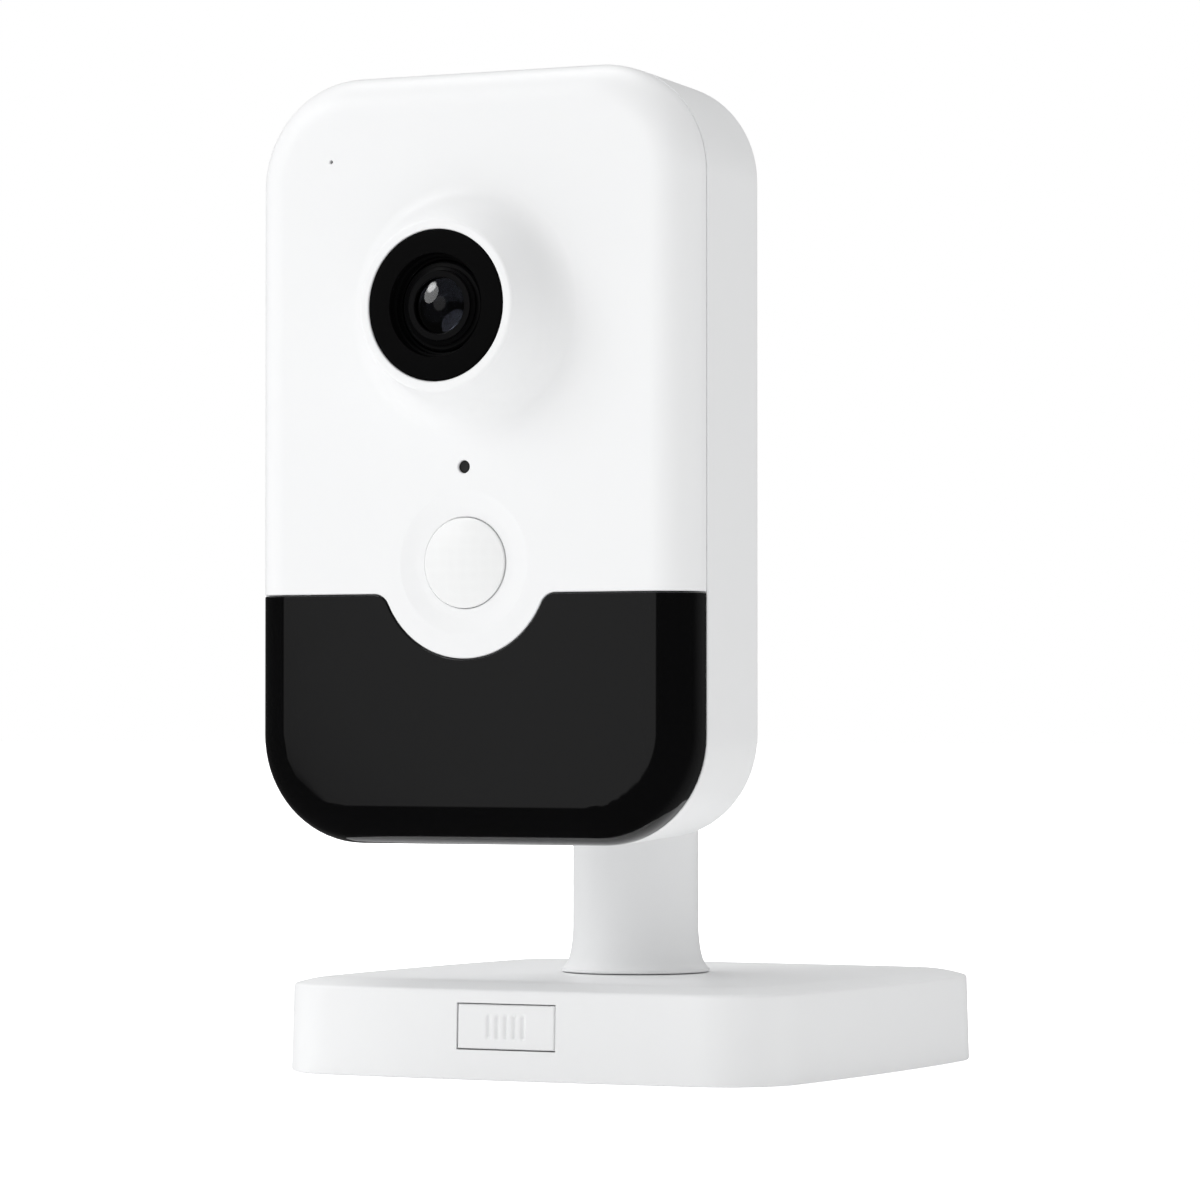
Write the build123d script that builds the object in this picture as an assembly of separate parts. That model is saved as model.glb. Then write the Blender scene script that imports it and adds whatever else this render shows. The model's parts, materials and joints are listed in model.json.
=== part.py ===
from build123d import *
import math
import os

# Cube-style network camera on a ball-jointed desk and wall stand.  Millimetres.
# Origin: centre of the base's underside, on the column's axis.  +Z up, the lens looks along -Y,
# +X is to the right of someone facing the lens.

# ---------------------------------------------------------------- driving dimensions
# Head, seen from the front
HEAD_WIDTH = 65.2
HEAD_HEIGHT = 102.8
HEAD_CORNER = 14.5
HEAD_BOTTOM = 32.2
# Head, front to back
COVER_DEPTH = 6.4
COVER_EDGE = 5.2
SHELL_DEPTH = 18.3
SHELL_TAPER = 2.8
SHELL_BACK_EDGE = 1.5
PARTING_GROOVE = 0.4
COVER_WALL = 1.6
SHELL_WALL = 1.8
# Lens and the raised cone around it
LENS_BELOW_TOP = 31.93
LENS_PROUD = 7.9
BARREL_RADIUS = 5.97
BARREL_TO_BEZEL = 0.88
BEZEL_WIDTH = 3.1
CONE_LIP_WIDTH = 0.65
CONE_COLLAR_WIDTH = 0.9
CONE_SWEEP_WIDTH = 5.2
GLASS_RADIUS = 3.7
GLASS_RISE = 1.1
HOLDER_HALF_WIDTH = 11.6
HOLDER_HALF_HEIGHT = 7.6
HOLDER_TUBE_WALL = 1.4
HOLDER_TUBE_LENGTH = 4.2
# Dark infrared window and the notch in its top edge
WINDOW_HEIGHT = 33.2
NOTCH_RADIUS = 12.75
NOTCH_CORNER = 2.2
WINDOW_GAP = 0.1
# Motion sensor's lens, in the tab that fills the notch
PIR_ABOVE_WINDOW = 4.1
PIR_RADIUS = 6.0
PIR_FLANGE_RADIUS = 7.0
PIR_DISH_RADIUS = 9.7
PIR_RISE = 0.45
# Small holes in the front
MIC_BELOW_LENS = 20.87
MIC_HOLE_RADIUS = 0.87
LED_FROM_SIDE = 12.36
LED_BELOW_TOP = 11.5
LED_HOLE_RADIUS = 0.25
# Base
BASE_SIDE = 78.2
BASE_BULGE = 1.8
BASE_CORNER = 10.7
BASE_SIDE_HEIGHT = 12.6
BASE_HEIGHT = 13.4
BASE_DRAFT_INSET = 0.33
BASE_TOP_INSET = 4.7
BASE_WALL = 2.0
BASE_GROUND_GAP = 0.4
PLATE_THICKNESS = 2.6
PLATE_UNDERSIDE = 0.5
FOOT_RADIUS = 5.0
FOOT_HEIGHT = 1.3
FOOT_SPREAD = 13.2
FOOT_FROM_SIDE = 15.1
# Latch in the base's front wall
LATCH_WIDTH = 15.0
LATCH_BOTTOM_Z = 4.45
LATCH_TOP_Z = 10.75
LATCH_GAP = 0.15
LATCH_TRAVEL = 1.2
LATCH_RIB_PITCH = 1.3
# Column
COLUMN_RADIUS = 8.7
COLUMN_FLARE = 1.7
COLUMN_TOP_BELOW_BALL = 5.0
SPIGOT_RADIUS = 6.0
SPIGOT_ABOVE_PLATE = 2.4
BUSH_WALL = 1.4
# Ball joint behind the head
BALL_ABOVE_HEAD_BOTTOM = 47.8
BALL_TO_COLUMN = 7.3
BALL_TO_HEAD = 10.0
BALL_RADIUS = 5.0
STEM_RADIUS = 2.5
CUP_THICKNESS = 0.95
HOUSING_WALL = 1.01
HOUSING_PAST_BALL = 3.0
NECK_RADIUS = 4.0
LOCK_RING_WALL = 2.5
FLUTES = 18
FLUTE_RADIUS = 0.8
# Circuit boards
BOARD_THICKNESS = 1.4
MAIN_BOARD_BEHIND_PARTING = 1.7
MAIN_BOARD_SIDE_GAP = 4.6
MAIN_BOARD_FOOT_GAP = 4.0
MAIN_BOARD_TOP_GAP = 4.57
LENS_BOARD_BEHIND_PARTING = 2.1
LENS_BOARD_HALF = 16.0
LENS_BOARD_BELOW_LENS = 14.5
LENS_BOARD_ABOVE_LENS = 15.0
LENS_SCREW_SPACING = 10.5
IR_BOARD_SIDE_GAP = 8.6
IR_BOARD_FOOT_GAP = 5.8
IR_BOARD_TOP_GAP = 5.4
IR_LED_SIZE = 3.4
IR_COLUMNS = 6
IR_ROWS = 2
IR_ROW_PITCH = 8.5
# Sockets and controls in the back
PLUG_WIDTH = 11.9
PLUG_HEIGHT = 8.4
PLUG_DEPTH = 11.0
CONTACT_PITCH = 1.02
CONTACT_THICKNESS = 0.2
JACK_SIDE_WALLS = 4.1
JACK_END_WALLS = 5.2
JACK_X = 10.0
JACK_ABOVE_BOTTOM = 14.2
POWER_WIDTH = 9.0
POWER_HEIGHT = 11.0
POWER_BORE = 3.1
POWER_PIN = 1.0
POWER_DEPTH = 9.5
POWER_X = -10.0
POWER_ABOVE_BOTTOM = 13.0
RESET_FROM_SIDE = 10.6
RESET_ABOVE_BOTTOM = 12.5
RESET_RADIUS = 1.6
RESET_TRAVEL = 0.6
CARD_LENGTH = 12.0
CARD_DEPTH = 1.9
CARD_BELOW_SENSOR = 10.5
# Loudspeaker and its grille
GRILLE_BELOW_TOP = 24.0
GRILLE_RADIUS = 8.0
GRILLE_HOLE = 0.8
GRILLE_PITCH = 2.6
SPEAKER_RADIUS = 11.0
# Night filter
FILTER_PITCH = 6.5
FILTER_SIZE = 5.6
FILTER_THICKNESS = 1.0
# Screws
CASE_SCREW_RADIUS = 1.15
CASE_HEAD_RADIUS = 2.2
CASE_SCREW_FROM_SIDE = 6.6
CASE_SCREW_BELOW_TOP = 17.0
BOSS_RADIUS = 3.0
BOARD_SCREW_RADIUS = 0.8
BOARD_HEAD_RADIUS = 1.6
BASE_SCREW_FROM_SIDE = 10.1
BASE_SCREW_RADIUS = 1.3
BASE_SCREW_HEAD = 2.5
BASE_BOSS_RADIUS = 3.2
WALL_HOLE_RADIUS = 2.1
WALL_HOLE_CIRCLE = 50.0
# Fits
RUNNING = 0.04
CLEAR = 0.15
SEAT = 0.05

# ---------------------------------------------------------------- worked out from them
# Front to back, starting from the column
BALL_Y = -(COLUMN_RADIUS + BALL_TO_COLUMN)
HEAD_BACK_Y = BALL_Y - BALL_TO_HEAD
PARTING_Y = HEAD_BACK_Y - SHELL_DEPTH
FACE_Y = PARTING_Y - COVER_DEPTH
LENS_FRONT_Y = FACE_Y - LENS_PROUD
FACE_INSIDE_Y = FACE_Y + COVER_WALL
SHELL_FRONT_Y = PARTING_Y + PARTING_GROOVE
SHELL_INSIDE_Y = HEAD_BACK_Y - SHELL_WALL
SIDE_INSIDE_X = HEAD_WIDTH / 2 - SHELL_WALL
MAIN_BOARD_FRONT_Y = PARTING_Y + MAIN_BOARD_BEHIND_PARTING
MAIN_BOARD_BACK_Y = MAIN_BOARD_FRONT_Y + BOARD_THICKNESS
LENS_BOARD_FRONT_Y = PARTING_Y + LENS_BOARD_BEHIND_PARTING
IR_BOARD_FRONT_Y = FACE_INSIDE_Y + 2.7
# Heights on the head
HEAD_CENTRE_Z = HEAD_BOTTOM + HEAD_HEIGHT / 2
HEAD_TOP = HEAD_BOTTOM + HEAD_HEIGHT
LENS_Z = HEAD_TOP - LENS_BELOW_TOP
MIC_Z = LENS_Z - MIC_BELOW_LENS
WINDOW_TOP_Z = HEAD_BOTTOM + WINDOW_HEIGHT
PIR_Z = WINDOW_TOP_Z + PIR_ABOVE_WINDOW
BALL_Z = HEAD_BOTTOM + BALL_ABOVE_HEAD_BOTTOM
GRILLE_Z = HEAD_TOP - GRILLE_BELOW_TOP
LED_X = -(HEAD_WIDTH / 2 - LED_FROM_SIDE)
LED_Z = HEAD_TOP - LED_BELOW_TOP
CASE_SCREW_X = HEAD_WIDTH / 2 - CASE_SCREW_FROM_SIDE
CASE_SCREWS = [(side * CASE_SCREW_X, z)
               for side in (-1, 1) for z in (PIR_Z, HEAD_TOP - CASE_SCREW_BELOW_TOP)]
# Lens, from the barrel outwards
BEZEL_OPENING = BARREL_RADIUS + BARREL_TO_BEZEL
BEZEL_RADIUS = BEZEL_OPENING + BEZEL_WIDTH
CONE_LIP_RADIUS = BEZEL_RADIUS + CONE_LIP_WIDTH
CONE_COLLAR_RADIUS = CONE_LIP_RADIUS + CONE_COLLAR_WIDTH
CONE_FOOT_RADIUS = CONE_COLLAR_RADIUS + CONE_SWEEP_WIDTH
HOLDER_TUBE_RADIUS = BARREL_RADIUS + HOLDER_TUBE_WALL
HOLDER_FRONT_Y = LENS_BOARD_FRONT_Y - 4.6
BARREL_BACK_Y = HOLDER_FRONT_Y + 0.6
BARREL_FRONT_Y = LENS_FRONT_Y + 1.1
FILTER_BACK_Y = LENS_BOARD_FRONT_Y - 2.0
FILTER_FRAME_HALF = FILTER_PITCH / 2 + FILTER_SIZE / 2 + 0.7
FILTER_FRAME_HEIGHT = FILTER_SIZE + 1.6
# Boards
LENS_BOARD_BOTTOM = LENS_Z - LENS_BOARD_BELOW_LENS
LENS_BOARD_TOP = LENS_Z + LENS_BOARD_ABOVE_LENS
MAIN_BOARD_HALF = HEAD_WIDTH / 2 - MAIN_BOARD_SIDE_GAP
MAIN_BOARD_BOTTOM = HEAD_BOTTOM + MAIN_BOARD_FOOT_GAP
MAIN_BOARD_TOP = LENS_BOARD_BOTTOM - MAIN_BOARD_TOP_GAP
BOARD_SCREWS = [(-MAIN_BOARD_HALF + 6, MAIN_BOARD_TOP - 4), (MAIN_BOARD_HALF - 6, MAIN_BOARD_TOP - 4),
                (MAIN_BOARD_HALF - 4, HEAD_BOTTOM + 17.8)]
IR_BOARD_HALF_WIDTH = HEAD_WIDTH / 2 - IR_BOARD_SIDE_GAP
IR_BOARD_BOTTOM = HEAD_BOTTOM + IR_BOARD_FOOT_GAP
IR_BOARD_TOP = WINDOW_TOP_Z - IR_BOARD_TOP_GAP
# Sockets and controls
JACK_WIDTH = PLUG_WIDTH + JACK_SIDE_WALLS
JACK_HEIGHT = PLUG_HEIGHT + JACK_END_WALLS
JACK_Z = HEAD_BOTTOM + JACK_ABOVE_BOTTOM
POWER_Z = HEAD_BOTTOM + POWER_ABOVE_BOTTOM
RESET_X = -(HEAD_WIDTH / 2 - RESET_FROM_SIDE)
RESET_Z = HEAD_BOTTOM + RESET_ABOVE_BOTTOM
CARD_Y = MAIN_BOARD_BACK_Y
CARD_Z = PIR_Z - CARD_BELOW_SENSOR
# Ball joint, from the ball outwards
CUP_RADIUS = BALL_RADIUS + RUNNING + CUP_THICKNESS
HOUSING_RADIUS = CUP_RADIUS + HOUSING_WALL
LOCK_RING_RADIUS = HOUSING_RADIUS + LOCK_RING_WALL
RING_FRONT_Y = HEAD_BACK_Y + 0.6
RING_BACK_Y = BALL_Y - 4.4
HOUSING_END_Y = BALL_Y + HOUSING_PAST_BALL
NECK_BOSS_Y = SHELL_INSIDE_Y - 0.8
NECK_END_Y = NECK_BOSS_Y - 0.2
# Base and column
COLUMN_FOOT_RADIUS = COLUMN_RADIUS + COLUMN_FLARE
COLUMN_BOTTOM = BASE_HEIGHT + SEAT
PLATE_TOP = PLATE_UNDERSIDE + PLATE_THICKNESS
BASE_INSIDE_TOP = BASE_HEIGHT - BASE_WALL
SPIGOT_BOTTOM = PLATE_TOP + SPIGOT_ABOVE_PLATE
BUSH_RADIUS = SPIGOT_RADIUS + BUSH_WALL
COLUMN_WASHER_RADIUS = BUSH_RADIUS + 1.2
FOOT_PLACE = BASE_SIDE / 2 - FOOT_FROM_SIDE
BASE_SCREW_PLACE = BASE_SIDE / 2 - BASE_SCREW_FROM_SIDE


# ---------------------------------------------------------------- drawing helpers
def facing(x=0.0, y=0.0, z=0.0):
    """A plane that looks out of the head's front: drawn right is +X, drawn up is +Z."""
    return Plane(origin=(x, y, z), x_dir=(1, 0, 0), z_dir=(0, -1, 0))


def slab(outline, back_y, front_y):
    """An outline drawn in X and Z, filled from back_y forward to front_y."""
    return facing(y=back_y) * extrude(outline, back_y - front_y)


def rod(radius, x, z, back_y, front_y):
    """A round bar along Y."""
    return slab(Pos(x, z) * Circle(radius), back_y, front_y)


def tube(outer, inner, x, z, back_y, front_y):
    return rod(outer, x, z, back_y, front_y) - rod(inner, x, z, back_y, front_y)


def block(x0, x1, y0, y1, z0, z1):
    """A box between two corners."""
    centre = ((x0 + x1) / 2, (y0 + y1) / 2, (z0 + z1) / 2)
    return Pos(*centre) * Box(x1 - x0, y1 - y0, z1 - z0)


def turned(points, x=0.0, z=0.0):
    """A ring or plug turned about an axis along Y, from (radius, y) points."""
    corners = [(r, 0, -y) for r, y in points]
    profile = make_face(Polyline(*corners, close=True))
    return facing(x, 0, z) * revolve(profile, Axis.Z, 360)


def domed_disc(radius, x, z, back_y, edge_y, rise):
    """A round plug along Y whose front face is a shallow spherical dome, rise high over its edge."""
    top_y = edge_y - rise
    dome_radius = (radius ** 2 + rise ** 2) / (2 * rise)
    half = radius / 2
    half_y = top_y + dome_radius - math.sqrt(dome_radius ** 2 - half ** 2)
    dome = ThreePointArc((radius, 0, -edge_y), (half, 0, -half_y), (0, 0, -top_y))
    sides = Polyline((0, 0, -top_y), (0, 0, -back_y), (radius, 0, -back_y), (radius, 0, -edge_y))
    return facing(x, 0, z) * revolve(make_face(dome + sides), Axis.Z, 360)


def screw(x, z, head_y, shank_end_y, shank_radius, head_radius, head_height):
    """A pan-head screw along Y, its head's face at head_y, with a cross recess."""
    way = math.copysign(1.0, shank_end_y - head_y)
    seat_y = head_y + way * head_height
    y_values = sorted((head_y, seat_y))
    body = rod(head_radius, x, z, y_values[1], y_values[0])
    y_values = sorted((seat_y, shank_end_y))
    body += rod(shank_radius, x, z, y_values[1], y_values[0])
    recess = head_height * 0.6
    y_values = sorted((head_y - way, head_y + way * recess))
    for length, width in ((head_radius, 0.4), (0.4, head_radius)):
        body -= block(x - length / 2, x + length / 2, *y_values, z - width / 2, z + width / 2)
    return body


def save(name, shape):
    export_step(shape, f"parts/{name}.step")
    print(f"{name}: {shape.volume:.1f} mm3")


# ---------------------------------------------------------------- head outline
def head_outline(inset=0.0):
    width = HEAD_WIDTH - 2 * inset
    height = HEAD_HEIGHT - 2 * inset
    return Pos(0, HEAD_CENTRE_Z) * RectangleRounded(width, height, HEAD_CORNER - inset)


def cover_block(inset):
    """The front cover's outer form, moved in by inset on the face and all sides."""
    body = slab(head_outline(inset), PARTING_Y, FACE_Y + inset)
    front_edges = body.faces().sort_by(Axis.Y)[0].edges()
    return fillet(front_edges, COVER_EDGE - inset)


def shell_block(inset):
    """The rear shell's drafted outer form, moved in by inset on the back and all sides."""
    depth = HEAD_BACK_Y - inset - SHELL_FRONT_Y
    back = Plane(origin=(0, SHELL_FRONT_Y, 0), x_dir=(-1, 0, 0), z_dir=(0, 1, 0))
    body = back * extrude(head_outline(inset), depth, taper=SHELL_TAPER)
    back_edges = body.faces().sort_by(Axis.Y)[-1].edges()
    return fillet(back_edges, SHELL_BACK_EDGE)


# ---------------------------------------------------------------- front cover and window
def window_outline(grow=0.0):
    """The lower face up to the window's top edge, less the round tab under the motion sensor."""
    top = WINDOW_TOP_Z + grow
    tall = top - HEAD_BOTTOM + 10
    field = Pos(0, top - tall / 2) * Rectangle(HEAD_WIDTH + 20, tall)
    field -= Pos(0, PIR_Z) * Circle(NOTCH_RADIUS - grow)
    corners = field.vertices().filter_by(lambda v: abs(v.X) < NOTCH_RADIUS and v.Y > PIR_Z - NOTCH_RADIUS)
    return fillet(corners, NOTCH_CORNER + grow)


def lens_cone():
    """Raised cone: steep sides that sweep out into the face, and a collar round the lens."""
    lip_y = LENS_FRONT_Y
    bore = BEZEL_RADIUS + SEAT
    profile = Polyline(
        (CONE_FOOT_RADIUS, 0, -(FACE_Y + 0.2)),
        (bore, 0, -(FACE_Y + 0.2)),
        (bore, 0, -(lip_y + 0.25)),
        (CONE_LIP_RADIUS - 0.2, 0, -lip_y),
        (CONE_COLLAR_RADIUS - 0.5, 0, -lip_y),
        (CONE_COLLAR_RADIUS, 0, -(lip_y + 0.5)),
    )
    sweep = ThreePointArc(
        (CONE_COLLAR_RADIUS, 0, -(lip_y + 0.5)),
        (CONE_COLLAR_RADIUS + 1.45, 0, -(FACE_Y - 2.6)),
        (CONE_FOOT_RADIUS, 0, -(FACE_Y + 0.2)),
    )
    solid = revolve(make_face(profile + sweep), Axis.Z, 360)
    return facing(0, 0, LENS_Z) * solid


def cover_bosses():
    """Screw bosses on the inside of the front cover, for the case and for the lens board."""
    bosses = []
    for x, z in CASE_SCREWS:
        bosses.append(tube(BOSS_RADIUS, CASE_SCREW_RADIUS, x, z, PARTING_Y, FACE_INSIDE_Y))
    for x, z in lens_board_screws():
        front = LENS_BOARD_FRONT_Y
        bosses.append(tube(2.2, BOARD_SCREW_RADIUS, x, z, front, FACE_INSIDE_Y))
    return bosses


def make_front_cover():
    skin = cover_block(0) + lens_cone()
    skin -= cover_block(COVER_WALL)
    skin -= slab(window_outline(WINDOW_GAP), PARTING_Y + 1, FACE_Y - 1)
    # a rim behind the window's edge holds it from inside
    rim = cover_block(COVER_WALL) - cover_block(COVER_WALL + 1.1)
    rim &= block(-HEAD_WIDTH, HEAD_WIDTH, FACE_Y, FACE_INSIDE_Y + 2.0, 0, WINDOW_TOP_Z + 3)
    opening = IR_BOARD_HALF_WIDTH + 1
    rim -= block(-opening, opening, FACE_Y - 1, PARTING_Y, IR_BOARD_BOTTOM, IR_BOARD_TOP)
    cover = skin + rim
    for boss in cover_bosses():
        cover += boss
    cover -= rod(BEZEL_RADIUS + SEAT, 0, LENS_Z, PARTING_Y, LENS_FRONT_Y - 1)
    # the cone is moulded hollow
    inner = BEZEL_RADIUS + SEAT + 1.3
    hollow = [(inner, FACE_INSIDE_Y), (inner + 3.2, FACE_INSIDE_Y), (inner, FACE_INSIDE_Y - 5.5)]
    cover -= turned(hollow, 0, LENS_Z)
    # shallow dish and hole for the motion sensor's lens
    dish_y = FACE_Y + 0.45
    dish = [(0, FACE_Y - 1), (PIR_DISH_RADIUS, FACE_Y - 1), (PIR_DISH_RADIUS, FACE_Y),
            (PIR_RADIUS + 1.2, dish_y), (0, dish_y)]
    cover -= turned(dish, 0, PIR_Z)
    cover -= rod(PIR_RADIUS + SEAT, 0, PIR_Z, PARTING_Y, FACE_Y - 1)
    cover -= rod(PIR_FLANGE_RADIUS + CLEAR, 0, PIR_Z, PARTING_Y, FACE_INSIDE_Y)
    cover -= rod(MIC_HOLE_RADIUS, 0, MIC_Z, PARTING_Y, FACE_Y - 1)
    cover -= rod(LED_HOLE_RADIUS, LED_X, LED_Z, PARTING_Y, FACE_Y - 1)
    save("front_cover", cover)


def make_ir_window():
    window = cover_block(0) - cover_block(COVER_WALL)
    window &= slab(window_outline(0), PARTING_Y, FACE_Y - 1)
    save("ir_window", window)


# ---------------------------------------------------------------- rear shell
def grille_points():
    """Round-cornered hexagon grid of small holes in front of the loudspeaker."""
    points = []
    rows = int(GRILLE_RADIUS / (GRILLE_PITCH * 0.866))
    for row in range(-rows, rows + 1):
        shift = (row % 2) * GRILLE_PITCH / 2
        z = GRILLE_Z + row * GRILLE_PITCH * 0.866
        for column in range(-4, 5):
            x = column * GRILLE_PITCH + shift
            if math.hypot(x, z - GRILLE_Z) <= GRILLE_RADIUS:
                points.append((x, z))
    return points


def make_rear_shell():
    shell = shell_block(0) - shell_block(SHELL_WALL)
    # tongue that locates inside the front cover
    lap = COVER_WALL + CLEAR
    tongue = slab(head_outline(lap), SHELL_FRONT_Y + 1.2, PARTING_Y - 1.2)
    tongue -= slab(head_outline(lap + 1.0), SHELL_FRONT_Y + 1.2, PARTING_Y - 1.2)
    shell += tongue
    # screw towers, open to the back for the screws' heads
    for x, z in CASE_SCREWS:
        shell += rod(BOSS_RADIUS, x, z, HEAD_BACK_Y - 0.5, PARTING_Y + SEAT)
        shell -= rod(CASE_SCREW_RADIUS + CLEAR, x, z, HEAD_BACK_Y, PARTING_Y)
        shell -= rod(CASE_HEAD_RADIUS + CLEAR, x, z, HEAD_BACK_Y + 1, HEAD_BACK_Y - 3.2)
    # standoffs that carry the main board
    for x, z in BOARD_SCREWS:
        shell += rod(2.4, x, z, HEAD_BACK_Y - 0.5, MAIN_BOARD_BACK_Y)
        shell -= rod(BOARD_SCREW_RADIUS, x, z, MAIN_BOARD_BACK_Y + 6, MAIN_BOARD_BACK_Y)
    # hole for the joint's neck, in a thicker boss
    shell += rod(NECK_RADIUS + 4, 0, BALL_Z, HEAD_BACK_Y - 0.5, NECK_BOSS_Y)
    shell -= rod(NECK_RADIUS + RUNNING, 0, BALL_Z, HEAD_BACK_Y + 1, SHELL_INSIDE_Y - 1)
    for x, z in grille_points():
        shell -= rod(GRILLE_HOLE, x, z, HEAD_BACK_Y + 1, SHELL_INSIDE_Y - 1)
    # sockets, reset button and card slot
    jack_hole = socket_outline(JACK_X, JACK_Z, JACK_WIDTH, JACK_HEIGHT, CLEAR)
    power_hole = socket_outline(POWER_X, POWER_Z, POWER_WIDTH, POWER_HEIGHT, CLEAR)
    for hole in (jack_hole, power_hole):
        shell -= slab(hole, HEAD_BACK_Y + 1, SHELL_INSIDE_Y - 1)
    shell -= rod(RESET_RADIUS + RUNNING, RESET_X, RESET_Z, HEAD_BACK_Y + 1, SHELL_INSIDE_Y - 1)
    shell -= block(-HEAD_WIDTH, -SIDE_INSIDE_X + 1.5, CARD_Y - 0.1, CARD_Y + CARD_DEPTH - 0.2,
                   CARD_Z - CARD_LENGTH / 2, CARD_Z + CARD_LENGTH / 2)
    save("rear_shell", shell)


def socket_outline(x, z, width, height, gap=0.0):
    return Pos(x, z) * Rectangle(width + 2 * gap, height + 2 * gap)


def make_case_screws():
    screws = [screw(x, z, HEAD_BACK_Y - 1.2, FACE_INSIDE_Y + 2.2, CASE_SCREW_RADIUS, CASE_HEAD_RADIUS, 2.0)
              for x, z in CASE_SCREWS]
    save("case_screws", Compound(children=screws))


# ---------------------------------------------------------------- lens module
def lens_board_screws():
    return [(side * (LENS_BOARD_HALF - 1.9), LENS_Z + up * LENS_SCREW_SPACING)
            for side in (-1, 1) for up in (-1, 1)]


def make_lens_bezel():
    """Matt black ring in the cone's mouth, stepped down towards the glass."""
    front = LENS_FRONT_Y
    middle = BEZEL_OPENING - 0.35
    bore = BARREL_RADIUS + CLEAR
    tube_front = HOLDER_FRONT_Y - HOLDER_TUBE_LENGTH - CLEAR
    ring = turned([
        (HOLDER_TUBE_RADIUS + CLEAR, FACE_INSIDE_Y), (BEZEL_RADIUS, FACE_INSIDE_Y),
        (BEZEL_RADIUS, front + 0.2), (BEZEL_RADIUS - 0.2, front),
        (BEZEL_OPENING + 0.15, front), (BEZEL_OPENING, front + 0.15), (BEZEL_OPENING, front + 1.3),
        (middle, front + 1.3), (middle, front + 2.2), (bore + 0.15, front + 2.2), (bore, front + 2.4),
        (bore, tube_front), (HOLDER_TUBE_RADIUS + CLEAR, tube_front),
    ], 0, LENS_Z)
    save("lens_bezel", ring)


def make_lens_barrel():
    """Threaded barrel with stepped front rings; the glass sits in its open end."""
    seat = GLASS_RADIUS
    inner = GLASS_RADIUS - 0.5
    front = BARREL_FRONT_Y
    outer = BARREL_RADIUS
    barrel = turned([
        (inner, BARREL_BACK_Y), (outer, BARREL_BACK_Y), (outer, front + 1.1), (outer - 0.25, front + 0.85),
        (outer - 0.8, front + 0.85), (outer - 0.8, front + 0.45), (outer - 1.35, front + 0.35),
        (outer - 1.35, front), (seat, front), (seat, front + 2.0), (inner, front + 2.0),
    ], 0, LENS_Z)
    save("lens_barrel", barrel)


def make_lens_glass():
    """Domed front glass and two smaller elements behind it."""
    seat_y = BARREL_FRONT_Y + 2.0
    save("front_lens", domed_disc(GLASS_RADIUS, 0, LENS_Z, seat_y, BARREL_FRONT_Y + 0.1, GLASS_RISE))
    radius = GLASS_RADIUS - 0.5
    middle_y = BARREL_FRONT_Y + 4.0
    save("middle_lens", turned([(0, middle_y - 0.5), (radius, middle_y + 0.3), (radius, middle_y + 1.5),
                                (0, middle_y + 1.1)], 0, LENS_Z))
    rear_y = BARREL_BACK_Y - 2.8
    save("rear_lens", turned([(0, rear_y), (radius, rear_y + 0.4), (radius, rear_y + 1.6), (0, rear_y + 2.1)],
                             0, LENS_Z))


def make_lens_holder():
    """Moulded block over the image sensor: thread for the barrel, chamber for the night filter."""
    holder = block(-HOLDER_HALF_WIDTH, HOLDER_HALF_WIDTH, HOLDER_FRONT_Y, LENS_BOARD_FRONT_Y,
                   LENS_Z - HOLDER_HALF_HEIGHT, LENS_Z + HOLDER_HALF_HEIGHT)
    tube_front = HOLDER_FRONT_Y - HOLDER_TUBE_LENGTH
    holder += rod(HOLDER_TUBE_RADIUS, 0, LENS_Z, HOLDER_FRONT_Y, tube_front)
    holder -= rod(BARREL_RADIUS, 0, LENS_Z, BARREL_BACK_Y, tube_front - 1)
    holder -= rod(GLASS_RADIUS, 0, LENS_Z, LENS_BOARD_FRONT_Y, BARREL_BACK_Y - 1)
    reach = FILTER_FRAME_HALF + FILTER_PITCH / 2 + 0.1
    holder -= block(-reach, reach, FILTER_BACK_Y - FILTER_THICKNESS - 0.1, FILTER_BACK_Y + 0.1,
                    LENS_Z - FILTER_FRAME_HEIGHT / 2 - 0.1, LENS_Z + FILTER_FRAME_HEIGHT / 2 + 0.1)
    holder -= block(-5.5, 5.5, FILTER_BACK_Y + 0.6, LENS_BOARD_FRONT_Y, LENS_Z - 5, LENS_Z + 5)
    save("lens_holder", holder)


def make_night_filter():
    """A sliding frame with two panes: one blocks infrared by day, the other is clear."""
    back = FILTER_BACK_Y
    front = FILTER_BACK_Y - FILTER_THICKNESS
    middle_x = FILTER_PITCH / 2
    half_height = FILTER_FRAME_HEIGHT / 2
    frame = block(middle_x - FILTER_FRAME_HALF, middle_x + FILTER_FRAME_HALF, front, back,
                  LENS_Z - half_height, LENS_Z + half_height)
    half = FILTER_SIZE / 2
    for name, x in (("blocking_pane", 0.0), ("clear_pane", FILTER_PITCH)):
        frame -= block(x - half, x + half, front - 1, back + 1, LENS_Z - half, LENS_Z + half)
        pane = block(x - half, x + half, front + 0.25, back - 0.25, LENS_Z - half, LENS_Z + half)
        save(name, pane)
    save("filter_frame", frame)


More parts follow.
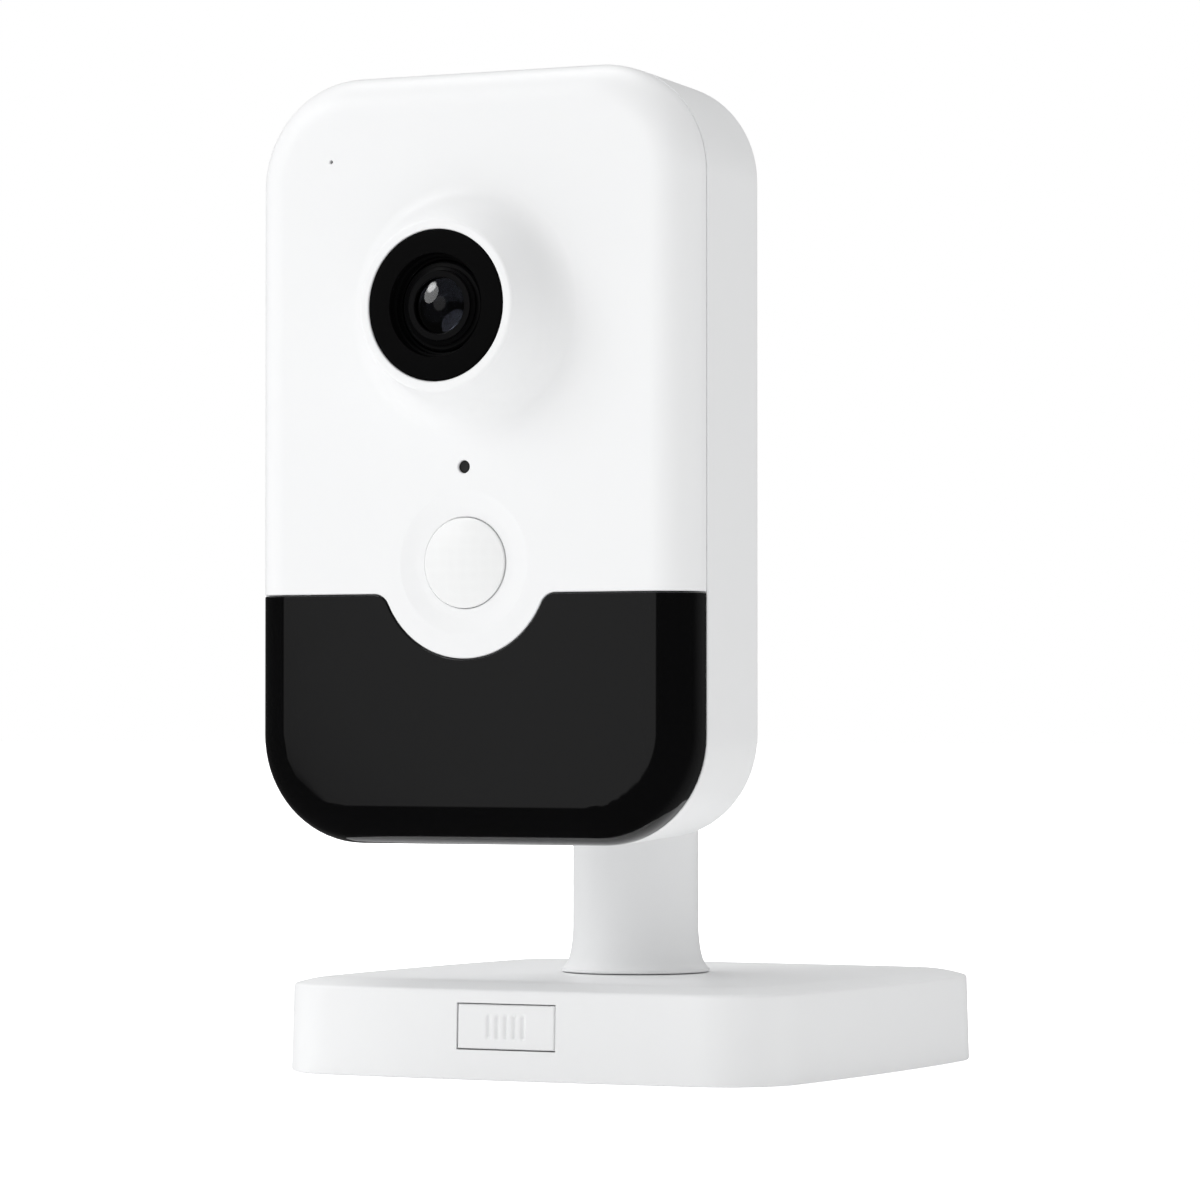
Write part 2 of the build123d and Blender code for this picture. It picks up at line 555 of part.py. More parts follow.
def make_sensor_board():
    height = LENS_BOARD_TOP - LENS_BOARD_BOTTOM
    centre = (LENS_BOARD_TOP + LENS_BOARD_BOTTOM) / 2
    outline = Pos(0, centre) * RectangleRounded(2 * LENS_BOARD_HALF, height, 1.5)
    back = LENS_BOARD_FRONT_Y + BOARD_THICKNESS
    board = slab(outline, back, LENS_BOARD_FRONT_Y)
    for x, z in lens_board_screws():
        board -= rod(BOARD_SCREW_RADIUS, x, z, back + 1, LENS_BOARD_FRONT_Y - 1)
    save("sensor_board", board)
    chip = block(-4.5, 4.5, LENS_BOARD_FRONT_Y - 1.0, LENS_BOARD_FRONT_Y, LENS_Z - 4, LENS_Z + 4)
    save("image_sensor", chip)
    screws = [screw(x, z, back + 1.0, FACE_INSIDE_Y + 1, BOARD_SCREW_RADIUS, BOARD_HEAD_RADIUS, 1.0)
              for x, z in lens_board_screws()]
    save("lens_board_screws", Compound(children=screws))


# ---------------------------------------------------------------- main board and what is on it
def make_main_board():
    height = MAIN_BOARD_TOP - MAIN_BOARD_BOTTOM
    centre = (MAIN_BOARD_TOP + MAIN_BOARD_BOTTOM) / 2
    outline = Pos(0, centre) * RectangleRounded(2 * MAIN_BOARD_HALF, height, HEAD_CORNER - 4)
    back = MAIN_BOARD_BACK_Y
    board = slab(outline, back, MAIN_BOARD_FRONT_Y)
    for x, z in BOARD_SCREWS:
        board -= rod(BOARD_SCREW_RADIUS, x, z, back + 1, MAIN_BOARD_FRONT_Y - 1)
    for x, z in CASE_SCREWS:
        board -= rod(BOSS_RADIUS + 0.4, x, z, back + 1, MAIN_BOARD_FRONT_Y - 1)
    save("main_board", board)
    screws = [screw(x, z, MAIN_BOARD_FRONT_Y - 1.0, back + 5, BOARD_SCREW_RADIUS, BOARD_HEAD_RADIUS, 1.0)
              for x, z in BOARD_SCREWS]
    save("main_board_screws", Compound(children=screws))


def make_processor():
    """Processor, its thermal pad and a finned heat spreader, on the main board's back."""
    back = MAIN_BOARD_BACK_Y
    middle = PIR_Z - 2.5
    save("processor", block(-7, 7, back, back + 1.6, middle - 7, middle + 7))
    save("thermal_pad", block(-7, 7, back + 1.6, back + 2.4, middle - 7, middle + 7))
    spreader = block(-11, 11, back + 2.4, back + 3.6, middle - 10, middle + 10)
    for step in range(6):
        x = -10 + step * 4
        spreader += block(x - 0.5, x + 0.5, back + 3.6, back + 7.0, middle - 10, middle + 6)
    save("heat_spreader", spreader)


def make_ethernet_jack():
    front = MAIN_BOARD_BACK_Y
    back = HEAD_BACK_Y - 0.6
    jack = slab(socket_outline(JACK_X, JACK_Z, JACK_WIDTH, JACK_HEIGHT), back, front)
    jack -= slab(socket_outline(JACK_X, JACK_Z, PLUG_WIDTH, PLUG_HEIGHT), back + 1, back - PLUG_DEPTH)
    # stepped channel for the plug's clip
    for width, drop in ((6.4, 1.2), (4.0, 2.0)):
        low = JACK_Z - PLUG_HEIGHT / 2 - drop
        jack -= block(JACK_X - width / 2, JACK_X + width / 2, back - PLUG_DEPTH + 2, back + 1, low, JACK_Z)
    save("ethernet_jack", jack)
    pins = []
    for step in range(8):
        x = JACK_X + (step - 3.5) * CONTACT_PITCH
        z = JACK_Z + PLUG_HEIGHT / 2
        pins.append(block(x - 0.2, x + 0.2, back - PLUG_DEPTH, back - 3,
                          z - CONTACT_THICKNESS, z))
    save("ethernet_contacts", Compound(children=pins))


def make_power_jack():
    front = MAIN_BOARD_BACK_Y
    back = HEAD_BACK_Y - 0.6
    jack = slab(socket_outline(POWER_X, POWER_Z, POWER_WIDTH, POWER_HEIGHT), back, front)
    jack -= rod(POWER_BORE, POWER_X, POWER_Z, back + 1, back - POWER_DEPTH)
    save("power_jack", jack)
    save("power_pin", rod(POWER_PIN, POWER_X, POWER_Z, back - 1.0, back - POWER_DEPTH))


def make_card_slot():
    """Spring-fed memory card socket, its mouth behind the slot in the side wall."""
    mouth = -SIDE_INSIDE_X + 2.0
    socket = block(mouth, mouth + 14.5, CARD_Y, CARD_Y + CARD_DEPTH,
                   CARD_Z - CARD_LENGTH / 2 - 1, CARD_Z + CARD_LENGTH / 2 + 1)
    socket -= block(mouth - 1, mouth + 13.5, CARD_Y + 0.3, CARD_Y + CARD_DEPTH - 0.4,
                    CARD_Z - CARD_LENGTH / 2, CARD_Z + CARD_LENGTH / 2)
    save("card_socket", socket)


def make_reset_button():
    inside = SHELL_INSIDE_Y
    switch_top = MAIN_BOARD_BACK_Y + 5.4
    tip = switch_top + RESET_TRAVEL + 0.1
    button = rod(RESET_RADIUS, RESET_X, RESET_Z, HEAD_BACK_Y - 0.3, tip)
    button += rod(RESET_RADIUS + 0.9, RESET_X, RESET_Z, inside - 0.1, inside - 1.1)
    save("reset_button", button)
    switch = block(RESET_X - 3, RESET_X + 3, MAIN_BOARD_BACK_Y, switch_top - 1.2, RESET_Z - 3, RESET_Z + 3)
    switch += rod(1.3, RESET_X, RESET_Z, switch_top, switch_top - 1.3)
    save("reset_switch", switch)


# ---------------------------------------------------------------- infrared lamps and sensors
def ir_led_places():
    pitch_x = 2 * (IR_BOARD_HALF_WIDTH - 5) / (IR_COLUMNS - 1)
    middle = (IR_BOARD_BOTTOM + IR_BOARD_TOP) / 2 - 2.5
    return [(-IR_BOARD_HALF_WIDTH + 5 + column * pitch_x, middle + (row - 0.5) * IR_ROW_PITCH)
            for column in range(IR_COLUMNS) for row in range(IR_ROWS)]


def make_ir_lamps():
    """Lamp board behind the dark window, with a row of domed infrared lamps on it."""
    board = block(-IR_BOARD_HALF_WIDTH, IR_BOARD_HALF_WIDTH, IR_BOARD_FRONT_Y, IR_BOARD_FRONT_Y + 1.0,
                  IR_BOARD_BOTTOM + 0.5, IR_BOARD_TOP - 0.5)
    save("ir_lamp_board", board)
    half = IR_LED_SIZE / 2
    lamps = []
    for x, z in ir_led_places():
        lamp = block(x - half, x + half, IR_BOARD_FRONT_Y - 0.8, IR_BOARD_FRONT_Y, z - half, z + half)
        dome = facing(x, IR_BOARD_FRONT_Y - 0.4, z) * Sphere(half * 0.8)
        lamps.append(lamp + (dome & block(x - half, x + half, IR_BOARD_FRONT_Y - 5, IR_BOARD_FRONT_Y - 0.4,
                                          z - half, z + half)))
    save("ir_lamps", Compound(children=lamps))
    save("lamp_connector", block(-6, 6, IR_BOARD_FRONT_Y + 1.0, MAIN_BOARD_FRONT_Y,
                                 IR_BOARD_BOTTOM + 1.5, IR_BOARD_BOTTOM + 4.5))


def make_motion_sensor():
    """Moulded lens in the dish, and the round metal sensor behind it."""
    wall = 0.7
    edge_y = FACE_Y + 0.15
    flange_back = FACE_INSIDE_Y + 0.6
    rise = PIR_RISE + 0.15
    lens = domed_disc(PIR_RADIUS, 0, PIR_Z, flange_back, edge_y, rise)
    lens += rod(PIR_FLANGE_RADIUS, 0, PIR_Z, flange_back, FACE_INSIDE_Y)
    lens -= domed_disc(PIR_RADIUS - wall, 0, PIR_Z, flange_back + 1, edge_y + wall, rise)
    save("pir_lens", lens)
    can = rod(4.1, 0, PIR_Z, MAIN_BOARD_FRONT_Y, MAIN_BOARD_FRONT_Y - 4.4)
    can += rod(4.7, 0, PIR_Z, MAIN_BOARD_FRONT_Y, MAIN_BOARD_FRONT_Y - 0.8)
    can -= block(-2, 2, MAIN_BOARD_FRONT_Y - 6, MAIN_BOARD_FRONT_Y - 4.1, PIR_Z - 1.5, PIR_Z + 1.5)
    save("pir_sensor", can)


def make_microphone():
    back = FACE_INSIDE_Y + 3.2
    sleeve = tube(3.2, 2.0, 0, MIC_Z, back, FACE_INSIDE_Y)
    save("microphone_sleeve", sleeve)
    save("microphone", rod(2.0, 0, MIC_Z, back, FACE_INSIDE_Y + 0.8))


def make_status_light():
    """Light guide behind the pinhole, with its lamp on a small board."""
    guide_back = FACE_INSIDE_Y + 2.6
    save("status_light_guide", rod(1.2, LED_X, LED_Z, guide_back, FACE_INSIDE_Y))
    board_y = guide_back + 0.8
    lamp = block(LED_X - 1, LED_X + 1, guide_back, board_y, LED_Z - 0.6, LED_Z + 0.6)
    save("status_lamp", lamp)
    save("status_board", block(LED_X - 2.5, LED_X + 3.5, board_y, board_y + 0.8, LED_Z - 1.5, LED_Z + 3.5))


def make_speaker():
    back = SHELL_INSIDE_Y
    opening = SPEAKER_RADIUS - 1.6
    save("speaker_gasket", tube(SPEAKER_RADIUS, SPEAKER_RADIUS - 1.4, 0, GRILLE_Z, back, back - 0.8))
    basket = rod(SPEAKER_RADIUS, 0, GRILLE_Z, back - 0.8, back - 3.2)
    basket += rod(6.5, 0, GRILLE_Z, back - 3.2, back - 5.6)
    cone = turned([(0, back - 2.2), (3.0, back - 1.4), (opening, back - 1.9), (opening, back), (0, back)],
                  0, GRILLE_Z)
    save("speaker", basket - cone)


def make_antenna():
    """Flat aerial under the top wall."""
    top = HEAD_TOP - SHELL_WALL - 1.6
    front = PARTING_Y + 4.3
    save("antenna", block(-15, 15, front, front + 7.5, top - 0.6, top))


def make_ribbon_cable():
    """Flat cable that bows out behind the gap between the two boards."""
    upper_y = LENS_BOARD_FRONT_Y + BOARD_THICKNESS
    lower_y = MAIN_BOARD_BACK_Y
    sockets = [block(-6, 6, upper_y, upper_y + 1.4, LENS_BOARD_BOTTOM + 1, LENS_BOARD_BOTTOM + 4),
               block(-6, 6, lower_y, lower_y + 1.4, MAIN_BOARD_TOP - 4, MAIN_BOARD_TOP - 1)]
    save("ribbon_sockets", Compound(children=sockets))
    top = (upper_y + 0.6, LENS_BOARD_BOTTOM + 1)
    low = (lower_y + 0.6, MAIN_BOARD_TOP - 1)
    bow = (max(upper_y, lower_y) + 2.2, (top[1] + low[1]) / 2)
    thickness = 0.25
    outer = ThreePointArc((0, top[0] + thickness, top[1]), (0, bow[0] + thickness, bow[1]),
                          (0, low[0] + thickness, low[1]))
    inner = ThreePointArc((0, low[0], low[1]), (0, bow[0], bow[1]), (0, top[0], top[1]))
    ends = (Line((0, low[0] + thickness, low[1]), (0, low[0], low[1]))
            + Line((0, top[0], top[1]), (0, top[0] + thickness, top[1])))
    section = make_face(outer + inner + ends)
    save("ribbon_cable", extrude(section, 5, dir=(1, 0, 0)) + extrude(section, 5, dir=(-1, 0, 0)))


# ---------------------------------------------------------------- ball joint
def stem_path():
    """Room for the ball's stem as the head tips back: a slot from straight behind to straight up."""
    gap = STEM_RADIUS + 0.4
    reach = HOUSING_RADIUS + 3
    room = rod(gap, 0, BALL_Z, BALL_Y + reach, BALL_Y)
    room += Pos(0, BALL_Y, BALL_Z) * extrude(Circle(gap), reach)
    sector = block(-gap, gap, BALL_Y, BALL_Y + reach, BALL_Z, BALL_Z + reach)
    return room + sector


def make_ball_housing():
    shape = rod(HOUSING_RADIUS, 0, BALL_Z, HOUSING_END_Y, HEAD_BACK_Y + 0.2)
    shape += rod(NECK_RADIUS, 0, BALL_Z, HEAD_BACK_Y + 0.2, NECK_END_Y)
    shape -= Pos(0, BALL_Y, BALL_Z) * Sphere(CUP_RADIUS)
    shape -= rod(BOARD_SCREW_RADIUS, 0, BALL_Z, HEAD_BACK_Y, SHELL_INSIDE_Y - 2)
    shape -= stem_path()
    save("ball_housing", shape)
    liner = Pos(0, BALL_Y, BALL_Z) * (Sphere(CUP_RADIUS) - Sphere(BALL_RADIUS + RUNNING))
    liner &= rod(HOUSING_RADIUS, 0, BALL_Z, HOUSING_END_Y - 0.4, HEAD_BACK_Y)
    save("ball_cup", liner - stem_path())


def make_swivel_fixing():
    """Washer and screw inside the head that keep it on the joint and let it turn upright or flat."""
    washer = tube(NECK_RADIUS + 2.5, BOARD_SCREW_RADIUS, 0, BALL_Z, NECK_END_Y, NECK_END_Y - 0.9)
    save("swivel_washer", washer)
    head_y = NECK_END_Y - 1.9
    save("swivel_screw", screw(0, BALL_Z, head_y, HEAD_BACK_Y - 0.6, BOARD_SCREW_RADIUS, 1.8, 1.0))


def make_lock_ring():
    """Fluted hand nut on the housing that clamps the ball."""
    ring = tube(LOCK_RING_RADIUS, HOUSING_RADIUS + RUNNING, 0, BALL_Z, RING_BACK_Y, RING_FRONT_Y)
    outer_edges = ring.edges().filter_by(GeomType.CIRCLE).filter_by(lambda e: e.radius > HOUSING_RADIUS + 1)
    ring = chamfer(outer_edges, 0.4)
    reach = LOCK_RING_RADIUS + 0.35
    for step in range(FLUTES):
        angle = math.radians(step * 360 / FLUTES)
        x = reach * math.cos(angle)
        z = BALL_Z + reach * math.sin(angle)
        ring -= rod(FLUTE_RADIUS, x, z, RING_BACK_Y + 1, RING_FRONT_Y - 1)
    save("lock_ring", ring)


# ---------------------------------------------------------------- column
def make_column():
    """Round post with a domed top; its foot flares onto the base and its spigot goes down through it."""
    dome_z = BALL_Z - COLUMN_TOP_BELOW_BALL
    foot = COLUMN_BOTTOM
    low = Polyline((0, 0, SPIGOT_BOTTOM), (SPIGOT_RADIUS, 0, SPIGOT_BOTTOM), (SPIGOT_RADIUS, 0, foot),
                   (COLUMN_FOOT_RADIUS, 0, foot), (COLUMN_FOOT_RADIUS, 0, foot + 0.3))
    flare = ThreePointArc((COLUMN_FOOT_RADIUS, 0, foot + 0.3), (COLUMN_FOOT_RADIUS - 1.05, 0, foot + 1.6),
                          (COLUMN_RADIUS + 0.1, 0, foot + 6.0))
    side = Line((COLUMN_RADIUS + 0.1, 0, foot + 6.0), (COLUMN_RADIUS, 0, dome_z))
    arc_point = COLUMN_RADIUS * math.sqrt(0.5)
    dome = ThreePointArc((COLUMN_RADIUS, 0, dome_z), (arc_point, 0, dome_z + arc_point),
                         (0, 0, dome_z + COLUMN_RADIUS))
    axis = Line((0, 0, dome_z + COLUMN_RADIUS), (0, 0, SPIGOT_BOTTOM))
    post = revolve(make_face(low + flare + side + dome + axis), Axis.Z, 360)
    post -= Pos(0, 0, SPIGOT_BOTTOM) * extrude(Circle(1.5), 10)
    post -= rod(STEM_RADIUS, 0, BALL_Z, 3.0, -COLUMN_RADIUS - 1)
    save("column", post)
    ball = Pos(0, BALL_Y, BALL_Z) * Sphere(BALL_RADIUS)
    stem = rod(STEM_RADIUS, 0, BALL_Z, 3.0, BALL_Y)
    save("ball_stud", ball + stem)


def make_swivel_bearing():
    """Plain bush in the base round the spigot, and the washer and screw that hold the column down."""
    bush = Pos(0, 0, SPIGOT_BOTTOM + 0.4) * extrude(Circle(BUSH_RADIUS) - Circle(SPIGOT_RADIUS + RUNNING),
                                                   BASE_HEIGHT - SPIGOT_BOTTOM - 0.4)
    save("swivel_bush", bush)
    washer = Pos(0, 0, SPIGOT_BOTTOM - 1.0) * extrude(Circle(COLUMN_WASHER_RADIUS) - Circle(1.5), 1.0)
    save("column_washer", washer)
    head = Pos(0, 0, SPIGOT_BOTTOM - 2.1) * extrude(Circle(3.2), 1.1)
    shank = Pos(0, 0, SPIGOT_BOTTOM - 1.0) * extrude(Circle(1.5), 9.0)
    slot = block(-1.6, 1.6, -0.35, 0.35, SPIGOT_BOTTOM - 3, SPIGOT_BOTTOM - 1.5)
    save("column_screw", head + shank - slot)


# ---------------------------------------------------------------- base
def base_outline(inset=0.0):
    """Square with gently bowed sides and round corners."""
    middle = BASE_SIDE / 2 - inset
    corner = middle - BASE_BULGE
    sides = [((corner, corner), (0, middle), (-corner, corner)),
             ((-corner, corner), (-middle, 0), (-corner, -corner)),
             ((-corner, -corner), (0, -middle), (corner, -corner)),
             ((corner, -corner), (middle, 0), (corner, corner))]
    edges = [ThreePointArc(*side) for side in sides]
    face = make_face(Curve(edges))
    return fillet(face.vertices(), BASE_CORNER - inset)


def base_block():
    """The base's outer form: slightly drafted walls under a shallow dished-off top."""
    bottom = Pos(0, 0, BASE_GROUND_GAP) * base_outline()
    shoulder = Pos(0, 0, BASE_SIDE_HEIGHT) * base_outline(BASE_DRAFT_INSET)
    crown = Pos(0, 0, BASE_HEIGHT) * base_outline(BASE_DRAFT_INSET + BASE_TOP_INSET)
    return loft([bottom, shoulder]) + loft([shoulder, crown])


def four_corners(place):
    return [(x * place, y * place) for x in (-1, 1) for y in (-1, 1)]


def latch_box(gap=0.0, back=-30.0):
    half = LATCH_WIDTH / 2 - gap
    return block(-half, half, -BASE_SIDE, back, LATCH_BOTTOM_Z + gap, LATCH_TOP_Z - gap)


def make_base_cover():
    cover = base_block()
    cover -= Pos(0, 0, -1) * extrude(base_outline(BASE_WALL + BASE_DRAFT_INSET), BASE_INSIDE_TOP + 1)
    for x, y in four_corners(BASE_SCREW_PLACE):
        boss = Pos(x, y, PLATE_TOP) * extrude(Circle(BASE_BOSS_RADIUS), BASE_INSIDE_TOP - PLATE_TOP + 0.5)
        cover += boss
        cover -= Pos(x, y, 0) * extrude(Circle(BASE_SCREW_RADIUS), BASE_INSIDE_TOP - 1)
    seat_bottom = SPIGOT_BOTTOM + 0.4
    cover += Pos(0, 0, seat_bottom) * extrude(Circle(BUSH_RADIUS + 2.2), BASE_HEIGHT - seat_bottom)
    cover -= Pos(0, 0, -1) * extrude(Circle(BUSH_RADIUS), BASE_HEIGHT + 2)
    cover -= latch_box()
    save("base_cover", cover)


def make_latch():
    """Push latch: its face follows the base's wall, with finger ribs, and a flange inside stops it."""
    wall_inside = -(BASE_SIDE / 2 - BASE_WALL - BASE_DRAFT_INSET)
    button = base_block() & latch_box(LATCH_GAP, wall_inside + 0.5)
    flange_half = LATCH_WIDTH / 2 + 1.2
    flange_y = wall_inside + 0.35
    button += block(-flange_half, flange_half, flange_y, flange_y + 1.2,
                    LATCH_BOTTOM_Z - 1.0, LATCH_TOP_Z + 0.4)
    button += block(-3, 3, flange_y, flange_y + 4.0, LATCH_BOTTOM_Z + 1.2, LATCH_TOP_Z - 1.2)
    for step in range(-2, 3):
        x = step * LATCH_RIB_PITCH
        button -= block(x - 0.25, x + 0.25, -BASE_SIDE, -BASE_SIDE / 2 + 0.55,
                        LATCH_BOTTOM_Z + 1.4, LATCH_TOP_Z - 1.4)
    save("latch_button", button)


def make_mounting_plate():
    inside = base_outline(BASE_WALL + BASE_DRAFT_INSET + CLEAR)
    plate = Pos(0, 0, PLATE_UNDERSIDE) * extrude(inside, PLATE_THICKNESS)
    for x, y in foot_places():
        plate -= Pos(x, y, 0) * extrude(Circle(FOOT_RADIUS), FOOT_HEIGHT)
    for x, y in four_corners(BASE_SCREW_PLACE):
        plate -= Pos(x, y, 0) * extrude(Circle(BASE_SCREW_RADIUS), PLATE_TOP + 1)
        plate -= Pos(x, y, 0) * extrude(Circle(BASE_SCREW_HEAD + CLEAR), PLATE_UNDERSIDE + 1.4)
    for x, y in wall_holes():
        plate -= Pos(x, y, 0) * extrude(Circle(WALL_HOLE_RADIUS), PLATE_TOP + 1)
    save("mounting_plate", plate)
    feet = [Pos(x, y, 0) * extrude(Circle(FOOT_RADIUS), FOOT_HEIGHT) for x, y in foot_places()]
    save("rubber_feet", Compound(children=feet))
    screws = []
    for x, y in four_corners(BASE_SCREW_PLACE):
        body = Pos(x, y, PLATE_UNDERSIDE + 0.3) * extrude(Circle(BASE_SCREW_HEAD), 1.1)
        body += Pos(x, y, PLATE_UNDERSIDE + 1.4) * extrude(Circle(BASE_SCREW_RADIUS), 6.5)
        body -= block(x - 1.4, x + 1.4, y - 0.3, y + 0.3, 0, PLATE_UNDERSIDE + 0.9)
        body -= block(x - 0.3, x + 0.3, y - 1.4, y + 1.4, 0, PLATE_UNDERSIDE + 0.9)
        screws.append(body)
    save("base_screws", Compound(children=screws))


def foot_places():
    """Two feet along the front edge, two along the back edge and one in the middle."""
    return [(0, 0)] + [(x * FOOT_SPREAD, y * FOOT_PLACE) for x in (-1, 1) for y in (-1, 1)]


def wall_holes():
    reach = WALL_HOLE_CIRCLE / 2
    return [(reach, 0), (0, reach), (-reach, 0), (0, -reach)]


# ---------------------------------------------------------------- write every piece
os.makedirs("parts", exist_ok=True)
make_front_cover()
make_ir_window()
make_rear_shell()
make_case_screws()
make_lens_bezel()
make_lens_barrel()
make_lens_glass()
make_lens_holder()
make_night_filter()
make_sensor_board()
make_main_board()
make_processor()
make_ethernet_jack()
make_power_jack()
make_card_slot()
make_reset_button()
make_ir_lamps()
make_motion_sensor()
make_microphone()
make_status_light()
make_speaker()
make_antenna()
make_ribbon_cable()
make_ball_housing()
make_swivel_fixing()
make_lock_ring()
make_column()
make_swivel_bearing()
make_base_cover()
make_latch()
make_mounting_plate()
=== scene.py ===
# %% [markdown]
# # A cube-style security camera on a ball-jointed stand
# The real object is a slim upright head of satin white plastic with a raised lens, a motion sensor
# under it and a glossy dark infrared window below, held by a ball joint on a round column with a
# square base.  The engineering model fixes every size and everything that moves.  This lesson keeps
# that frame and gives it its looks: clean moulded surfaces, thin seams, glass, and plastics that
# catch the light as the real ones do.
#
# First the frame is loaded.

# %% Load the frame
import bmesh
import bpy
import json
import math
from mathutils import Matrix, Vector


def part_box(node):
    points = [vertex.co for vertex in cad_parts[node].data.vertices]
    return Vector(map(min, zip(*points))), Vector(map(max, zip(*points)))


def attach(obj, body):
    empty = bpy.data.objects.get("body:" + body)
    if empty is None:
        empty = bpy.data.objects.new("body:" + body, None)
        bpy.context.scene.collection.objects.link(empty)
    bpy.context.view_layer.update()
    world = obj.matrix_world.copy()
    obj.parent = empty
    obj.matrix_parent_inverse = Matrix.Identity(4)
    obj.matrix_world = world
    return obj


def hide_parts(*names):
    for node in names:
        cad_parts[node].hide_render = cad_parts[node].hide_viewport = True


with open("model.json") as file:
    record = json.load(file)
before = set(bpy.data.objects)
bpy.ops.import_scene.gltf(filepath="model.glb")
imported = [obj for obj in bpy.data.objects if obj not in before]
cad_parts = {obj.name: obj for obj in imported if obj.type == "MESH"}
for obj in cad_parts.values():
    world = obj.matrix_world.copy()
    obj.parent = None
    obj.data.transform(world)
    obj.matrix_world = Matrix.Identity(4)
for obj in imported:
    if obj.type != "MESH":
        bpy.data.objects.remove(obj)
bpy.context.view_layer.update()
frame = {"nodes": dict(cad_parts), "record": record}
nodes = frame["nodes"]

# %% [markdown]
# ## Sizes come from the frame
# Every place below is read from the boxes of the engineering pieces, in millimetres, so the moulded
# skins sit exactly where the working model has them.  Only details that are too fine for it, such
# as the rounding of a seam, get a number of their own.

# %% Read the places of the main pieces
MM = 0.001


def size_of(node):
    """Lowest and highest corner of an engineering piece, in millimetres."""
    low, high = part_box(node)
    return low / MM, high / MM


def centre_of(node):
    low, high = size_of(node)
    return (low + high) / 2


shell_low, shell_high = size_of("rear_shell")
window_low, window_high = size_of("ir_window")
bezel_low, bezel_high = size_of("lens_bezel")
base_low, base_high = size_of("base_cover")
column_low, column_high = size_of("column")

half_width = shell_high.x
head_bottom = shell_low.z
head_top = shell_high.z
face_y = window_low.y
parting_y = window_high.y
back_y = shell_high.y
seam_z = window_high.z
lens_z = centre_of("lens_bezel").z
bezel_radius = (bezel_high.x - bezel_low.x) / 2
lens_front_y = bezel_low.y
sensor_z = centre_of("pir_lens").z
print("head", round(2 * half_width, 1), "x", round(head_top - head_bottom, 1), "mm")
print("lens at height", round(lens_z, 1), "mm")

# %% [markdown]
# ## Skins from rows of points
# A moulded part is a thin skin with soft edges.  Booleans would leave long slivers that spoil the
# shine, so each skin is laid down as rows of points joined by four-sided faces, with flat areas
# filled last.  Holes are rings in the flat area.  Where rows meet they are welded, and the seam
# edges get a narrow chamfer, which is what makes a real edge glint.

# %% Helpers that lay down and join rows
def row(bm, points):
    """New vertices for a list of (x, y, z) in millimetres."""
    return [bm.verts.new(Vector(point) * MM) for point in points]


def row_at(bm, outline, y):
    """New vertices along an outline of (x, z) points that faces along Y."""
    return row(bm, [(x, y, z) for x, z in outline])


def join(bm, first, second, closed=True, left_out=()):
    """Four-sided faces between two rows of the same length, except at the places left out."""
    count = len(first) if closed else len(first) - 1
    for i in range(count):
        k = (i + 1) % len(first)
        if i not in left_out:
            bm.faces.new((first[i], first[k], second[k], second[i]))


def join_all(bm, rows, closed=True):
    for first, second in zip(rows, rows[1:]):
        join(bm, first, second, closed)


def join_round_gap(bm, rows, gap_row, left_out):
    """Join closed rows, and leave an opening at some places after one of the rows."""
    for j, (first, second) in enumerate(zip(rows, rows[1:])):
        join(bm, first, second, left_out=left_out if j == gap_row else ())


def join_to_tips(bm, rows):
    """Join closed rows and close the first and the last with a face."""
    join_all(bm, rows)
    bm.faces.new(rows[0])
    bm.faces.new(rows[-1])


def fill_flat(bm, loops):
    """Fill a flat area bounded by closed loops of vertices; inner loops stay open as holes."""
    edges = []
    for loop in loops:
        for i, vert in enumerate(loop):
            after = loop[(i + 1) % len(loop)]
            edge = bm.edges.get((vert, after)) or bm.edges.new((vert, after))
            edges.append(edge)
    bmesh.ops.triangle_fill(bm, edges=edges, use_beauty=True)


def finish_piece(bm, name, body, material, replaced=(), sharp_degrees=32):
    """Weld the rows, point every face outward, shade smoothly and put the piece on its body."""
    bmesh.ops.remove_doubles(bm, verts=bm.verts, dist=0.002 * MM)
    bmesh.ops.recalc_face_normals(bm, faces=bm.faces)
    mesh = bpy.data.meshes.new(name)
    bm.to_mesh(mesh)
    open_edges = sum(1 for edge in bm.edges if not edge.is_manifold)
    bm.free()
    mesh.polygons.foreach_set("use_smooth", [True] * len(mesh.polygons))
    mesh.set_sharp_from_angle(angle=math.radians(sharp_degrees))
    piece = bpy.data.objects.new(name, mesh)
    bpy.context.scene.collection.objects.link(piece)
    mesh.materials.append(material)
    weighted = piece.modifiers.new("even shading", "WEIGHTED_NORMAL")
    weighted.keep_sharp = True
    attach(piece, body)
    if replaced:
        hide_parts(*replaced)
    print(f"{name}: {len(mesh.polygons)} faces, {open_edges} open edges")
    return piece


def arc(cx, cz, radius, start, end, steps):
    """Points round part of a circle, angles in degrees."""
    points = []
    for i in range(steps + 1):
        angle = math.radians(start + (end - start) * i / steps)
        points.append((cx + radius * math.cos(angle), cz + radius * math.sin(angle)))
    return points


def ring(cx, cz, radius, y, steps):
    """A circle of points that faces along Y."""
    return [(x, y, z) for x, z in arc(cx, cz, radius, 0, 360, steps)[:-1]]


def turned_rows(bm, profile, cx, cz, steps):
    """Rows for a form turned about an axis along Y, from (radius, y) points."""
    return [row(bm, ring(cx, cz, radius, y, steps)) for radius, y in profile]


def upright_rows(bm, profile, steps):
    """Rows for a form turned about the upright axis, from (radius, z) points."""
    return [row(bm, [(x, y, z) for x, y in arc(0, 0, radius, 0, 360, steps)[:-1]]) for radius, z in profile]


